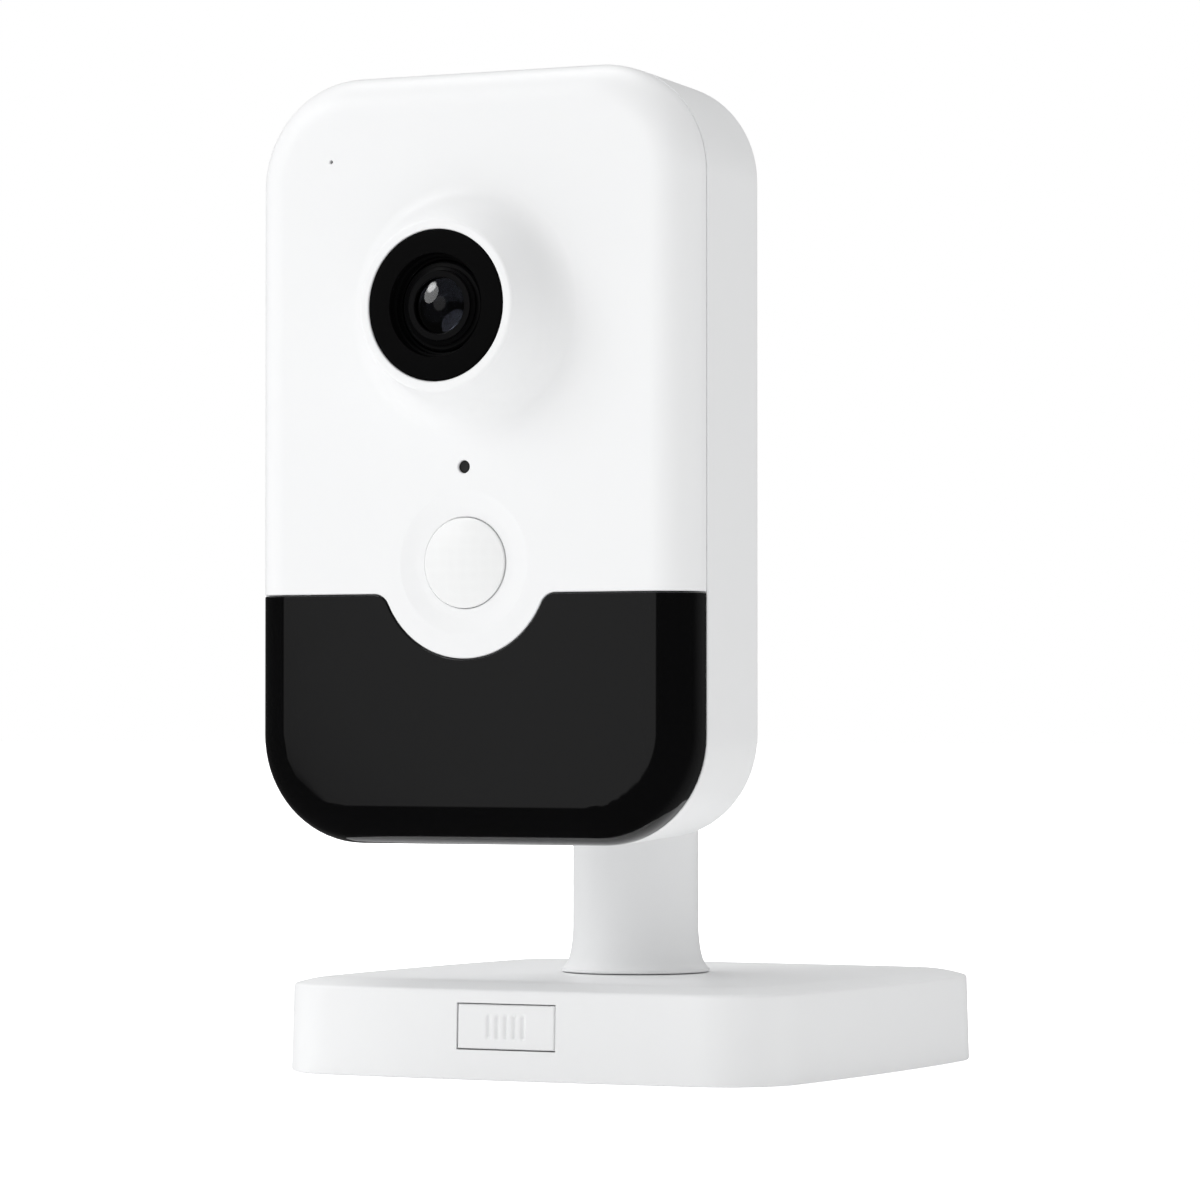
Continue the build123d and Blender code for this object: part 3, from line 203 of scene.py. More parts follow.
# %% [markdown]
# ## Plastics, glass and metal from nodes
# One recipe makes every moulded plastic: a base colour with a very faint cloudiness, a roughness
# that wavers a little, and a fine surface grain as bump.  The amounts differ from part to part.
# The grain is measured in object space, so it stays the same size on every piece and goes with it
# when it moves.

# %% Material helpers
def new_material(name):
    material = bpy.data.materials.new(name)
    material.use_nodes = True
    tree = material.node_tree
    shader = tree.nodes["Principled BSDF"]
    return material, tree, shader


def piece_space(tree):
    """Places measured in the piece's own space."""
    return tree.nodes.new("ShaderNodeTexCoord").outputs["Object"]


def object_noise(tree, scale, detail=2.0):
    """Noise in the piece's own space, scale in features per metre."""
    noise = tree.nodes.new("ShaderNodeTexNoise")
    noise.inputs["Scale"].default_value = scale
    noise.inputs["Detail"].default_value = detail
    tree.links.new(piece_space(tree), noise.inputs["Vector"])
    return noise


def remap(tree, source, low, high):
    spread = tree.nodes.new("ShaderNodeMapRange")
    spread.inputs["To Min"].default_value = low
    spread.inputs["To Max"].default_value = high
    tree.links.new(source, spread.inputs["Value"])
    return spread.outputs["Result"]


def two_tones(tree, factor, first, second):
    mix = tree.nodes.new("ShaderNodeMix")
    mix.data_type = "RGBA"
    mix.inputs[6].default_value = (*first, 1.0)
    mix.inputs[7].default_value = (*second, 1.0)
    tree.links.new(factor, mix.inputs[0])
    return mix.outputs[2]


def bump_from(tree, height, strength, distance):
    bump = tree.nodes.new("ShaderNodeBump")
    bump.inputs["Strength"].default_value = strength
    bump.inputs["Distance"].default_value = distance
    tree.links.new(height, bump.inputs["Height"])
    return bump.outputs["Normal"]


def moulded(name, colour, rough, wander=0.05, tint=0.02, grain=9000.0, grain_depth=0.03, shine=0.5,
            coat=0.0, coat_rough=0.1, glow=0.0):
    """Moulded or painted surface: faint clouding, wavering gloss and a fine grain."""
    material, tree, shader = new_material(name)
    cloud = object_noise(tree, 60.0, 3.0)
    darker = tuple(max(0.0, part * (1.0 - tint)) for part in colour)
    lighter = tuple(min(1.0, part * (1.0 + tint)) for part in colour)
    tree.links.new(two_tones(tree, cloud.outputs["Fac"], darker, lighter), shader.inputs["Base Color"])
    gloss = object_noise(tree, 260.0, 4.0)
    waver = remap(tree, gloss.outputs["Fac"], rough - wander, rough + wander)
    tree.links.new(waver, shader.inputs["Roughness"])
    fine = object_noise(tree, grain, 2.0)
    tree.links.new(bump_from(tree, fine.outputs["Fac"], grain_depth, 0.0001), shader.inputs["Normal"])
    shader.inputs["Specular IOR Level"].default_value = shine
    shader.inputs["Coat Weight"].default_value = coat
    shader.inputs["Coat Roughness"].default_value = coat_rough
    if glow:
        shader.inputs["Subsurface Weight"].default_value = glow
        shader.inputs["Subsurface Radius"].default_value = (0.0012, 0.0011, 0.001)
    return material


def brushed(name, colour, rough, along=(1.0, 1.0, 1.0)):
    """Metal with fine drawn lines: noise stretched along one direction."""
    material, tree, shader = new_material(name)
    stretch = tree.nodes.new("ShaderNodeMapping")
    stretch.inputs["Scale"].default_value = along
    noise = tree.nodes.new("ShaderNodeTexNoise")
    noise.inputs["Scale"].default_value = 900.0
    noise.inputs["Detail"].default_value = 5.0
    tree.links.new(piece_space(tree), stretch.inputs["Vector"])
    tree.links.new(stretch.outputs["Vector"], noise.inputs["Vector"])
    darker = tuple(part * 0.9 for part in colour)
    tree.links.new(two_tones(tree, noise.outputs["Fac"], darker, colour), shader.inputs["Base Color"])
    tree.links.new(remap(tree, noise.outputs["Fac"], rough - 0.08, rough + 0.1), shader.inputs["Roughness"])
    tree.links.new(bump_from(tree, noise.outputs["Fac"], 0.08, 0.00005), shader.inputs["Normal"])
    shader.inputs["Metallic"].default_value = 1.0
    return material


def clear_glass(name, colour, film=0.0, rough=0.01):
    """Polished glass or clear plastic, with a faint dusting in its gloss and an optional thin film."""
    material, tree, shader = new_material(name)
    shader.inputs["Transmission Weight"].default_value = 1.0
    shader.inputs["IOR"].default_value = 1.52
    shader.inputs["Thin Film Thickness"].default_value = film
    shader.inputs["Thin Film IOR"].default_value = 1.38
    dust = object_noise(tree, 1500.0, 3.0)
    tree.links.new(remap(tree, dust.outputs["Fac"], rough, rough + 0.03), shader.inputs["Roughness"])
    haze = tuple(part * 0.96 for part in colour)
    tree.links.new(two_tones(tree, dust.outputs["Fac"], haze, colour), shader.inputs["Base Color"])
    return material


# %% Mix the materials that show outside
WHITE = (0.86, 0.865, 0.87)
satin_white = moulded("satin white plastic", WHITE, 0.36, wander=0.04, tint=0.006, grain=5200,
                      grain_depth=0.035, shine=0.18)
stand_white = moulded("fine textured white plastic", WHITE, 0.45, wander=0.05, tint=0.008, grain=7800,
                      grain_depth=0.10, shine=0.2)
grip_white = moulded("white hand grip plastic", (0.84, 0.845, 0.85), 0.42, tint=0.01, grain=6500,
                     grain_depth=0.08)
window_black = moulded("polished dark window", (0.002, 0.002, 0.0022), 0.07, wander=0.015, tint=0.2,
                       grain=300, grain_depth=0.006)
bezel_black = moulded("matt black lens ring", (0.0024, 0.0024, 0.0025), 0.5, wander=0.06, tint=0.15,
                      grain=9000, grain_depth=0.08, shine=0.03)
barrel_black = moulded("black anodised barrel", (0.003, 0.003, 0.0033), 0.35, wander=0.05, tint=0.2,
                       grain=9000, grain_depth=0.08, shine=0.08)
rubber_black = moulded("soft black rubber", (0.012, 0.012, 0.012), 0.75, tint=0.2, grain=6000,
                       grain_depth=0.3)
print("outside materials:", satin_white.name, window_black.name, bezel_black.name)

# %% [markdown]
# ## The head's outline
# Seen from the front the head is a tall rectangle with quarter-round corners.  Both mouldings follow
# it, so it is made once: moved in by an inset it serves the edge rounding, the wall's inside and the
# drafted back as well, and always has the same number of points.

# %% Outline of the head
corner_radius = 14.5
CORNER_STEPS = 18


def head_loop(inset, right_marks=(), left_marks=()):
    """The outline anticlockwise from the right side, with extra points at marked heights."""
    wide = half_width - inset
    radius = corner_radius - inset
    cx = half_width - corner_radius
    high = head_top - corner_radius
    low = head_bottom + corner_radius
    points = [(wide, z) for z in sorted(right_marks)]
    points += arc(cx, high, radius, 0, 90, CORNER_STEPS)
    points += arc(-cx, high, radius, 90, 180, CORNER_STEPS)
    points += [(-wide, z) for z in sorted(left_marks, reverse=True)]
    points += arc(-cx, low, radius, 180, 270, CORNER_STEPS)
    points += arc(cx, low, radius, 270, 360, CORNER_STEPS)
    return points


UPPER_COUNT = 2 * (CORNER_STEPS + 1) + 2


def upper_half(inset, z):
    """The outline over the head's top, from the right side at height z to the left side."""
    return head_loop(inset, [z], [z])[:UPPER_COUNT]


def lower_half(inset, z):
    """The outline under the head's bottom, from the left side at height z to the right side."""
    loop = head_loop(inset, [z], [z])
    return loop[UPPER_COUNT - 1:] + [loop[0]]


# %% [markdown]
# ## The seam between white cover and dark window
# The window's top edge runs straight across and dips round the motion sensor in a smooth arc, with
# rounded shoulders.  Both parts are made with the same seam, moved a hair apart, so the gap between
# them stays even all the way.

# %% The seam's line
notch_radius = 12.75
shoulder_radius = 2.2
shoulder_z = seam_z - shoulder_radius
shoulder_x = math.sqrt((notch_radius + shoulder_radius) ** 2 - (sensor_z - shoulder_z) ** 2)
shoulder_angle = math.degrees(math.atan2(sensor_z - shoulder_z, shoulder_x))
cover_edge = 5.2


def seam_line(shift):
    """The seam from left to right on the flat face, moved into the white side by shift."""
    end = half_width - cover_edge
    turn = shoulder_radius + shift
    points = [(-end, seam_z + shift)]
    points += arc(-shoulder_x, shoulder_z, turn, 90, shoulder_angle, 8)
    points += arc(0, sensor_z, notch_radius - shift, 180 + shoulder_angle, 360 - shoulder_angle, 40)[1:-1]
    points += arc(shoulder_x, shoulder_z, turn, 180 - shoulder_angle, 90, 8)
    points.append((end, seam_z + shift))
    return points


# %% [markdown]
# ## Section through the front cover
# From the parting line the cover's wall goes a little way forward and then rolls over a 5 mm edge
# onto the flat face.  The same section at a greater depth gives the inside of the wall.

# %% Section of the front cover
cover_wall = 1.6
seam_chamfer = 0.14
seam_gap = 0.1
EDGE_STEPS = 12


def cover_section(depth):
    """(inset, y) from the parting line to the flat face, for a surface this deep in the wall."""
    back = parting_y - (seam_chamfer if depth == 0 else 0)
    turn_y = face_y + cover_edge
    section = [(depth, back), (depth, turn_y)]
    radius = cover_edge - depth
    for i in range(1, EDGE_STEPS + 1):
        angle = math.pi / 2 * i / EDGE_STEPS
        section.append((cover_edge - radius * math.cos(angle), turn_y - radius * math.sin(angle)))
    return section


def cover_skin(bm, half, seam_shift, chamfer_shift):
    """Rim, seam walls and inside of one half of the front; returns the loops round its flat areas."""
    end_z = seam_z + seam_shift
    round_z = seam_z + chamfer_shift
    outer = [row_at(bm, half(inset, round_z), y) for inset, y in cover_section(0)]
    lip = row_at(bm, half(seam_chamfer, end_z), parting_y)
    inner = [row_at(bm, half(inset, end_z), y) for inset, y in cover_section(cover_wall)]
    join_all(bm, outer, closed=False)
    join(bm, lip, outer[0], closed=False)
    join(bm, inner[0], lip, closed=False)
    join_all(bm, inner, closed=False)
    for end in (0, -1):
        edge = [row_at(bm, [half(inset, end_z)[end]], y)[0] for inset, y in cover_section(seam_chamfer)]
        join_all(bm, [[r[end] for r in outer], edge, [r[end] for r in inner]], closed=False)
    rounded = row_at(bm, seam_line(chamfer_shift), face_y)
    wall_top = row_at(bm, seam_line(seam_shift), face_y + seam_chamfer)
    wall_low = row_at(bm, seam_line(seam_shift), face_y + cover_wall)
    join_all(bm, [rounded, wall_top, wall_low], closed=False)
    return outer[-1], rounded, inner[-1], wall_low


# %% [markdown]
# ## The raised cone round the lens
# The face sweeps up into a short volcano: a hollow curve that leaves the face almost flat, climbs
# steeply, and ends in a thin rounded lip round the lens.  A Bezier curve gives that sweep from four
# points, and it is turned about the lens's axis.

# %% Front cover
ROUND_STEPS = 96
cone_foot = 16.9
collar_radius = 11.45
bore_radius = bezel_radius + 0.05


def bezier(p0, p1, p2, p3, steps):
    points = []
    for i in range(steps + 1):
        t = i / steps
        a, b, c, d = (1 - t) ** 3, 3 * t * (1 - t) ** 2, 3 * t * t * (1 - t), t ** 3
        points.append((a * p0[0] + b * p1[0] + c * p2[0] + d * p3[0],
                       a * p0[1] + b * p1[1] + c * p2[1] + d * p3[1]))
    return points


def lip_round(radius, y, turn, start, end, steps=6):
    """A small rounding in a turned section, centred on (radius, y)."""
    points = []
    for i in range(steps + 1):
        angle = math.radians(start + (end - start) * i / steps)
        points.append((radius + turn * math.cos(angle), y - turn * math.sin(angle)))
    return points


def cone_profile():
    lip = 0.5
    sweep = bezier((cone_foot, face_y), (13.9, face_y - 0.15), (12.6, face_y - 2.6),
                   (collar_radius, lens_front_y + lip), 16)
    top = lip_round(collar_radius - lip, lens_front_y + lip, lip, 0, 90)
    inside = lip_round(bore_radius + 0.3, lens_front_y + 0.3, 0.3, 90, 180)
    return sweep[:-1] + top + inside + [(bore_radius, face_y + cover_wall)]


def make_front_cover():
    bm = bmesh.new()
    edges = cover_skin(bm, upper_half, seam_gap, seam_gap + seam_chamfer)
    face_rim, face_seam, inside_rim, inside_seam = edges
    cone = turned_rows(bm, cone_profile(), 0, lens_z, ROUND_STEPS)
    join_all(bm, cone)
    inside_y = face_y + cover_wall
    dish_y = face_y + 0.42
    hole = 6.08
    dish_profile = [(9.7, face_y), (9.45, face_y + 0.03), (8.6, face_y + 0.2), (7.6, face_y + 0.37),
                    (7.0, dish_y), (hole + 0.12, dish_y), (hole, dish_y + 0.12), (hole, inside_y)]
    dish = turned_rows(bm, dish_profile, 0, sensor_z, 72)
    join_all(bm, dish)
    pin_holes = []
    for node, radius in (("microphone", 0.87), ("status_light_guide", 0.25)):
        place = centre_of(node)
        chamfer = min(0.12, radius / 3)
        profile = [(radius + chamfer, face_y), (radius, face_y + chamfer), (radius, inside_y)]
        pin_holes.append(turned_rows(bm, profile, place.x, place.z, 28))
        join_all(bm, pin_holes[-1])
    pulls = [cone, dish] + pin_holes
    outer_loop = face_rim + face_seam[1:-1]
    fill_flat(bm, [outer_loop] + [rows[0] for rows in pulls])
    inner_loop = inside_rim + inside_seam[1:-1]
    fill_flat(bm, [inner_loop] + [rows[-1] for rows in pulls])
    return finish_piece(bm, "front_cover_skin", "head", satin_white, ["front_cover"])


make_front_cover()

# %% [markdown]
# The microphone's hole looks black because a disc of felt sits just under the surface.

# %% Microphone felt
def make_felt():
    place = centre_of("microphone")
    bm = bmesh.new()
    profile = [(0.05, face_y + 0.38), (0.6, face_y + 0.35), (0.85, face_y + 0.42), (0.85, face_y + 0.9),
               (0.05, face_y + 0.9)]
    join_to_tips(bm, turned_rows(bm, profile, place.x, place.z, 28))
    return finish_piece(bm, "microphone_felt", "head", rubber_black)


make_felt()

# %% [markdown]
# ## The dark infrared window
# The window is the lower half of the same front: infrared passes it, daylight doesn't, so it looks
# like black glass.  It reuses the cover's section, and only its seam lies on the other side of the
# gap.

# %% Infrared window
def make_window():
    bm = bmesh.new()
    face_rim, face_seam, inside_rim, inside_seam = cover_skin(bm, lower_half, 0.0, -seam_chamfer)
    fill_flat(bm, [face_rim + list(reversed(face_seam))[1:-1]])
    fill_flat(bm, [inside_rim + list(reversed(inside_seam))[1:-1]])
    return finish_piece(bm, "window_skin", "head", window_black, ["ir_window"])


make_window()

# %% [markdown]
# ## The lens
# A dark ring with steps leads down to a small domed glass.  The steps are what the eye reads as
# depth, so the ring and the barrel are turned from closely spaced points with fine grooves, and a
# dark iris sits behind the glass.

# %% Lens ring, barrel and iris
def make_turned(name, profile, cz, body, material, replaced=(), closed_section=True):
    """A turned piece along Y.  A closed section is a ring; an open one has both its ends near the axis."""
    bm = bmesh.new()
    rows = turned_rows(bm, profile, 0, cz, ROUND_STEPS)
    if closed_section:
        join_all(bm, rows)
        join(bm, rows[-1], rows[0])
    else:
        join_to_tips(bm, rows)
    return finish_piece(bm, name, body, material, replaced)


def stepped(radius, y, drop):
    """A step down towards the glass: a rounded edge, a short wall and a groove at its foot."""
    groove = 0.12
    return [(radius + 0.06, y), (radius + 0.02, y + 0.02), (radius, y + 0.07), (radius, y + drop - groove),
            (radius - 0.05, y + drop)]


opening = 6.85
ring_profile = [(bezel_radius - 1.6, bezel_high.y), (bezel_radius, bezel_high.y),
                (bezel_radius, lens_front_y + 0.22), (bezel_radius - 0.06, lens_front_y + 0.08),
                (bezel_radius - 0.2, lens_front_y)]
ring_profile += stepped(opening, lens_front_y, 1.2)
ring_profile += stepped(opening - 0.4, lens_front_y + 1.2, 1.0)
ring_profile += [(6.15, lens_front_y + 2.25), (6.12, lens_front_y + 2.4), (6.12, bezel_high.y)]
make_turned("lens_ring", ring_profile, lens_z, "head", bezel_black, ["lens_bezel"])

barrel_low, barrel_high = size_of("lens_barrel")
barrel_front = barrel_low.y
glass_low, glass_high = size_of("front_lens")
glass_radius = (glass_high.x - glass_low.x) / 2
barrel_profile = [(3.2, barrel_high.y), (5.95, barrel_high.y), (5.95, barrel_front + 1.1),
                  (5.7, barrel_front + 0.85), (5.3, barrel_front + 0.85)]
barrel_profile += [(5.17, barrel_front + 0.8), (5.17, barrel_front + 0.5), (5.05, barrel_front + 0.42),
                   (4.7, barrel_front + 0.36), (4.62, barrel_front + 0.3), (4.62, barrel_front + 0.06),
                   (4.56, barrel_front), (glass_radius + 0.1, barrel_front),
                   (glass_radius + 0.02, barrel_front + 0.05), (glass_radius + 0.02, barrel_front + 2.0),
                   (3.2, barrel_front + 2.0)]
make_turned("lens_barrel_turned", barrel_profile, lens_z, "head", barrel_black,
            ["lens_barrel"])

iris_y = barrel_front + 3.0
iris_profile = [(3.15, iris_y), (3.15, iris_y + 0.3), (1.25, iris_y + 0.3), (1.1, iris_y + 0.12),
                (1.25, iris_y)]
make_turned("iris", iris_profile, lens_z, "head", bezel_black)


# %% Front glass
def dome_profile(radius, edge_y, rise, steps):
    """(radius, y) from the rim to close by the axis over a shallow dome."""
    curve = (radius ** 2 + rise ** 2) / (2 * rise)
    middle_y = edge_y - rise + curve
    points = []
    for i in range(steps + 1):
        r = radius * math.cos(math.pi / 2 * i / (steps + 0.35))
        points.append((r, middle_y - math.sqrt(curve ** 2 - r ** 2)))
    return points


# Painted shade: the front glass is tinted dark, standing in for the shade inside the lens and dimming the
# reflection off its back face; only its faint blue cast is the coating's own tint.
shade_darkened_glass = clear_glass("front glass darkened as painted shade", (0.12, 0.13, 0.17))
plain_glass = clear_glass("clear inner glass", (0.9, 0.93, 0.96))
dome = dome_profile(glass_radius, barrel_front + 0.1, barrel_front + 0.1 - glass_low.y, 14)
glass_profile = list(reversed(dome)) + [(glass_radius, glass_high.y), (0.2, glass_high.y)]
make_turned("front_glass", glass_profile, lens_z, "head", shade_darkened_glass, ["front_lens"],
            closed_section=False)

# %% [markdown]
# ## The motion sensor's lens
# This is a milky film of tiny facets over a shallow dome.  The dome is turned, and the facets are so
# shallow that they live in the material as a honeycomb of bumps.

# %% Motion sensor lens
def milky_film():
    material, tree, shader = new_material("milky sensor film")
    cells = tree.nodes.new("ShaderNodeTexVoronoi")
    cells.inputs["Scale"].default_value = 620.0
    cells.inputs["Randomness"].default_value = 0.12
    tree.links.new(piece_space(tree), cells.inputs["Vector"])
    tree.links.new(bump_from(tree, cells.outputs["Distance"], 0.12, 0.0003), shader.inputs["Normal"])
    shade = two_tones(tree, cells.outputs["Distance"], (0.84, 0.845, 0.845), (0.87, 0.875, 0.875))
    tree.links.new(shade, shader.inputs["Base Color"])
    gloss = object_noise(tree, 700.0)
    tree.links.new(remap(tree, gloss.outputs["Fac"], 0.33, 0.43), shader.inputs["Roughness"])
    shader.inputs["Subsurface Weight"].default_value = 0.25
    shader.inputs["Subsurface Radius"].default_value = (0.001, 0.001, 0.001)
    return material


sensor_film = milky_film()
pir_low, pir_high = size_of("pir_lens")
film_radius = 6.0
film_edge_y = face_y + 0.15
film = dome_profile(film_radius - 0.1, film_edge_y, film_edge_y - pir_low.y, 14)
film_back = list(reversed(dome_profile(film_radius - 0.7, film_edge_y + 0.7, film_edge_y - pir_low.y, 14)))
film_profile = list(reversed(film)) + [(film_radius, film_edge_y + 0.1), (film_radius, face_y + cover_wall),
                                       (7.0, face_y + cover_wall), (7.0, pir_high.y)]
film_profile += [(film_radius - 0.7, pir_high.y)] + list(reversed(film_back))
make_turned("sensor_film", film_profile, sensor_z, "head", sensor_film, ["pir_lens"],
            closed_section=False)

# %% [markdown]
# ## The rear shell
# The back half is a drafted tray: its sides lean in by a few degrees so that it leaves its mould, and
# its back edge is softly rounded.  Sockets, screws, the loudspeaker's holes and the joint's neck all
# pass through the flat back, so each is a ring or a rectangle in that flat area, with a small
# chamfer round it.

# %% Rear shell
shell_front = parting_y + 0.4
shell_wall = 1.8
draft = math.tan(math.radians(2.8))
back_round = 1.5
hole_chamfer = 0.14
card = centre_of("card_socket")
card_half = 6.0
card_mouth = (size_of("card_socket")[0].y - 0.1, size_of("card_socket")[1].y - 0.2)


def shell_section(depth):
    """(inset, y) from the parting line to the back, for a surface this deep in the wall."""
    edge = back_round if depth == 0 else 0.3
    back = back_y - depth
    start = shell_front + (seam_chamfer if depth == 0 else 1.2)
    stops = [start, card_mouth[0], card_mouth[1], back - edge]
    section = [(depth + draft * (y - shell_front), y) for y in stops]
    foot = section[-1][0] + edge
    for i in range(1, 9):
        angle = math.pi / 2 * i / 8
        section.append((foot - edge * math.cos(angle), back - edge + edge * math.sin(angle)))
    return section


def shell_loop(inset):
    marks = [card.z - card_half, card.z + card_half]
    return head_loop(inset, (), marks)


def rect_loop(cx, cz, wide, high, y, turn=0.35, steps=3):
    """A rectangle with slightly rounded corners that faces along Y."""
    right, top = wide / 2 - turn, high / 2 - turn
    points = []
    for quarter, (x, z) in enumerate(((right, top), (-right, top), (-right, -top), (right, -top))):
        points += arc(cx + x, cz + z, turn, 90 * quarter, 90 * quarter + 90, steps)
    return [(x, y, z) for x, z in points]


def socket_hole(bm, node, gap=0.12):
    """A rectangular opening through the back that leaves a thin line round a socket."""
    low, high = size_of(node)
    middle = (low + high) / 2
    wide, tall = high.x - low.x + 2 * gap, high.z - low.z + 2 * gap
    grow = 2 * hole_chamfer
    loops = [row(bm, rect_loop(middle.x, middle.z, wide + grow, tall + grow, back_y)),
             row(bm, rect_loop(middle.x, middle.z, wide, tall, back_y - hole_chamfer)),
             row(bm, rect_loop(middle.x, middle.z, wide, tall, back_y - shell_wall))]
    join_all(bm, loops)
    return loops


def round_hole(bm, x, z, radius, steps=24, profile=None):
    """A round opening through the back, straight or with a stepped section of its own."""
    through = profile or [(radius + hole_chamfer, back_y), (radius, back_y - hole_chamfer),
                          (radius, back_y - shell_wall)]
    loops = turned_rows(bm, through, x, z, steps)
    join_all(bm, loops)
    return loops


def screw_places(node):
    """Centres of separate screws in one node, found from its loose pieces."""
    bm = bmesh.new()
    bm.from_mesh(nodes[node].data)
    bmesh.ops.remove_doubles(bm, verts=bm.verts, dist=0.001 * MM)
    left = set(bm.verts)
    places = []
    while left:
        patch = [left.pop()]
        group = list(patch)
        while patch:
            vert = patch.pop()
            for edge in vert.link_edges:
                other = edge.other_vert(vert)
                if other in left:
                    left.remove(other)
                    patch.append(other)
                    group.append(other)
        xs = [v.co.x / MM for v in group]
        zs = [v.co.z / MM for v in group]
        places.append(((min(xs) + max(xs)) / 2, (min(zs) + max(zs)) / 2))
    bm.free()
    unique = []
    for place in places:
        if all(math.dist(place, other) > 1 for other in unique):
            unique.append(place)
    return sorted(unique)


speaker = centre_of("speaker")
grille_radius, grille_pitch, grille_hole = 8.0, 2.6, 0.8


def grille_places():
    """The loudspeaker's holes: a hexagon grid inside a circle."""
    rise = grille_pitch * 0.866
    rows_up = int(grille_radius / rise)
    places = []
    for step in range(-rows_up, rows_up + 1):
        shift = (step % 2) * grille_pitch / 2
        for across in range(-4, 5):
            x, z = across * grille_pitch + shift, step * rise
            if math.hypot(x, z) <= grille_radius:
                places.append((speaker.x + x, speaker.z + z))
    return places


def make_rear_shell():
    bm = bmesh.new()
    outer = [row_at(bm, shell_loop(inset), y) for inset, y in shell_section(0)]
    inner = [row_at(bm, shell_loop(inset), y) for inset, y in shell_section(shell_wall)]
    lap = cover_wall + 0.15
    tongue = [(seam_chamfer, shell_front), (lap, shell_front), (lap, parting_y - 1.2),
              (lap + 1, parting_y - 1.2), (lap + 1, shell_front + 1.2)]
    front = [row_at(bm, shell_loop(inset), y) for inset, y in tongue]
    join_all(bm, [outer[0]] + front + [inner[0]])
    mouth = 2 * (CORNER_STEPS + 1)
    for surface in (outer, inner):
        join_round_gap(bm, surface, 1, (mouth,))
    slot_out = [outer[1][mouth], outer[1][mouth + 1], outer[2][mouth + 1], outer[2][mouth]]
    slot_in = [inner[1][mouth], inner[1][mouth + 1], inner[2][mouth + 1], inner[2][mouth]]
    join(bm, slot_out, slot_in)
    holes = [socket_hole(bm, "ethernet_jack"), socket_hole(bm, "power_jack")]
    reset = centre_of("reset_button")
    holes.append(round_hole(bm, reset.x, reset.z, 1.64))
    neck = centre_of("swivel_washer")
    holes.append(round_hole(bm, neck.x, neck.z, 4.05, 48))
    head, shank = 2.35, 1.3
    tower = [(head + 0.15, back_y), (head, back_y - 0.15), (head, back_y - 3.2), (shank, back_y - 3.2),
             (shank, back_y - 4.6), (head + 1, back_y - 4.6), (head + 1, back_y - shell_wall)]
    for x, z in screw_places("case_screws"):
        holes.append(round_hole(bm, x, z, head, 32, tower))
    for x, z in grille_places():
        holes.append(round_hole(bm, x, z, grille_hole, 16))
    fill_flat(bm, [outer[-1]] + [loops[0] for loops in holes])
    fill_flat(bm, [inner[-1]] + [loops[-1] for loops in holes])
    return finish_piece(bm, "rear_shell_skin", "head", satin_white, ["rear_shell"])


print("case screws at", [tuple(round(v, 1) for v in place) for place in screw_places("case_screws")])
make_rear_shell()

# %% [markdown]
# ## The base
# The base is a square with gently bowed sides.  Each side is an arc of a very large circle, and each
# corner a small circle that touches two of them, so the outline has no kink anywhere.  Insets of
# that outline make the drafted wall, the softly rounded top edge and the shallow rise to the column.

# %% Outline of the base
base_middle = base_high.x
bulge = 1.8
base_corner = 10.7
half_chord = base_middle - bulge
side_radius = (half_chord ** 2 + bulge ** 2) / (2 * bulge)
side_centre = base_middle - side_radius
reach = side_radius - base_corner
corner_centre = (side_centre + math.sqrt(2 * reach ** 2 - side_centre ** 2)) / 2
touch = math.atan2(corner_centre, corner_centre - side_centre)
SIDE_STEPS = 24
BASE_CORNER_STEPS = 14


def base_loop(inset, z, marks=()):
    """The outline anticlockwise from the front side, with extra points at marked X on the front."""
    points = []
    radius = side_radius - inset
    for quarter in range(4):
        turn = math.pi / 2 * (quarter - 1)
        angles = [-touch + 2 * touch * i / SIDE_STEPS for i in range(SIDE_STEPS + 1)]
        if quarter == 0:
            angles = [-touch + 2 * touch * i / 8 for i in (0, 1, 2)]
            angles += [math.asin(x / radius) for x in marks]
            angles += [touch * i / 4 for i in (2, 3, 4)]
        side = [(side_centre + radius * math.cos(a), radius * math.sin(a)) for a in angles]
        bend = base_corner - inset
        for i in range(1, BASE_CORNER_STEPS):
            a = touch + (math.pi / 2 - 2 * touch) * i / BASE_CORNER_STEPS
            side.append((corner_centre + bend * math.cos(a), corner_centre + bend * math.sin(a)))
        for x, y in side:
            points.append((x * math.cos(turn) - y * math.sin(turn),
                           x * math.sin(turn) + y * math.cos(turn), z))
    return points


print("base side radius", round(side_radius, 1), "corner centre", round(corner_centre, 2))

# %% [markdown]
# The push latch sits in the front wall.  Its opening is a patch of the wall left out between marked
# points, with a wall of its own through to the inside, as in the moulding.

# %% Base cover
latch_half = 7.5
latch_low_z = 4.45
latch_high_z = 10.75
side_top = 12.6
side_inset = 0.33
base_wall = 2.0
column_bore = 7.45
latch_marks = [-latch_half, -latch_half / 2, 0, latch_half / 2, latch_half]
FIRST_MARK = 3


def base_section():
    """(inset, z) from the ground edge to the flat top round the column."""
    lean = side_inset / side_top
    ground = base_low.z
    section = [(0.35, ground), (0.1, ground + 0.1), (0.0, ground + 0.35)]
    section += [(lean * z, z) for z in (latch_low_z, latch_high_z)]
    turn = 0.55
    shoulder = side_top - turn
    for i in range(7):
        angle = math.radians(78 * i / 6)
        section.append((side_inset + turn - turn * math.cos(angle), shoulder + turn * math.sin(angle)))
    edge_inset, edge_z = section[-1]
    top = base_high.z
    for i in range(1, 9):
        share = i / 8
        rise = (top - edge_z) * (1 - (1 - share) ** 1.6)
        section.append((edge_inset + (side_inset + 4.9 - edge_inset) * share, edge_z + rise))
    return section


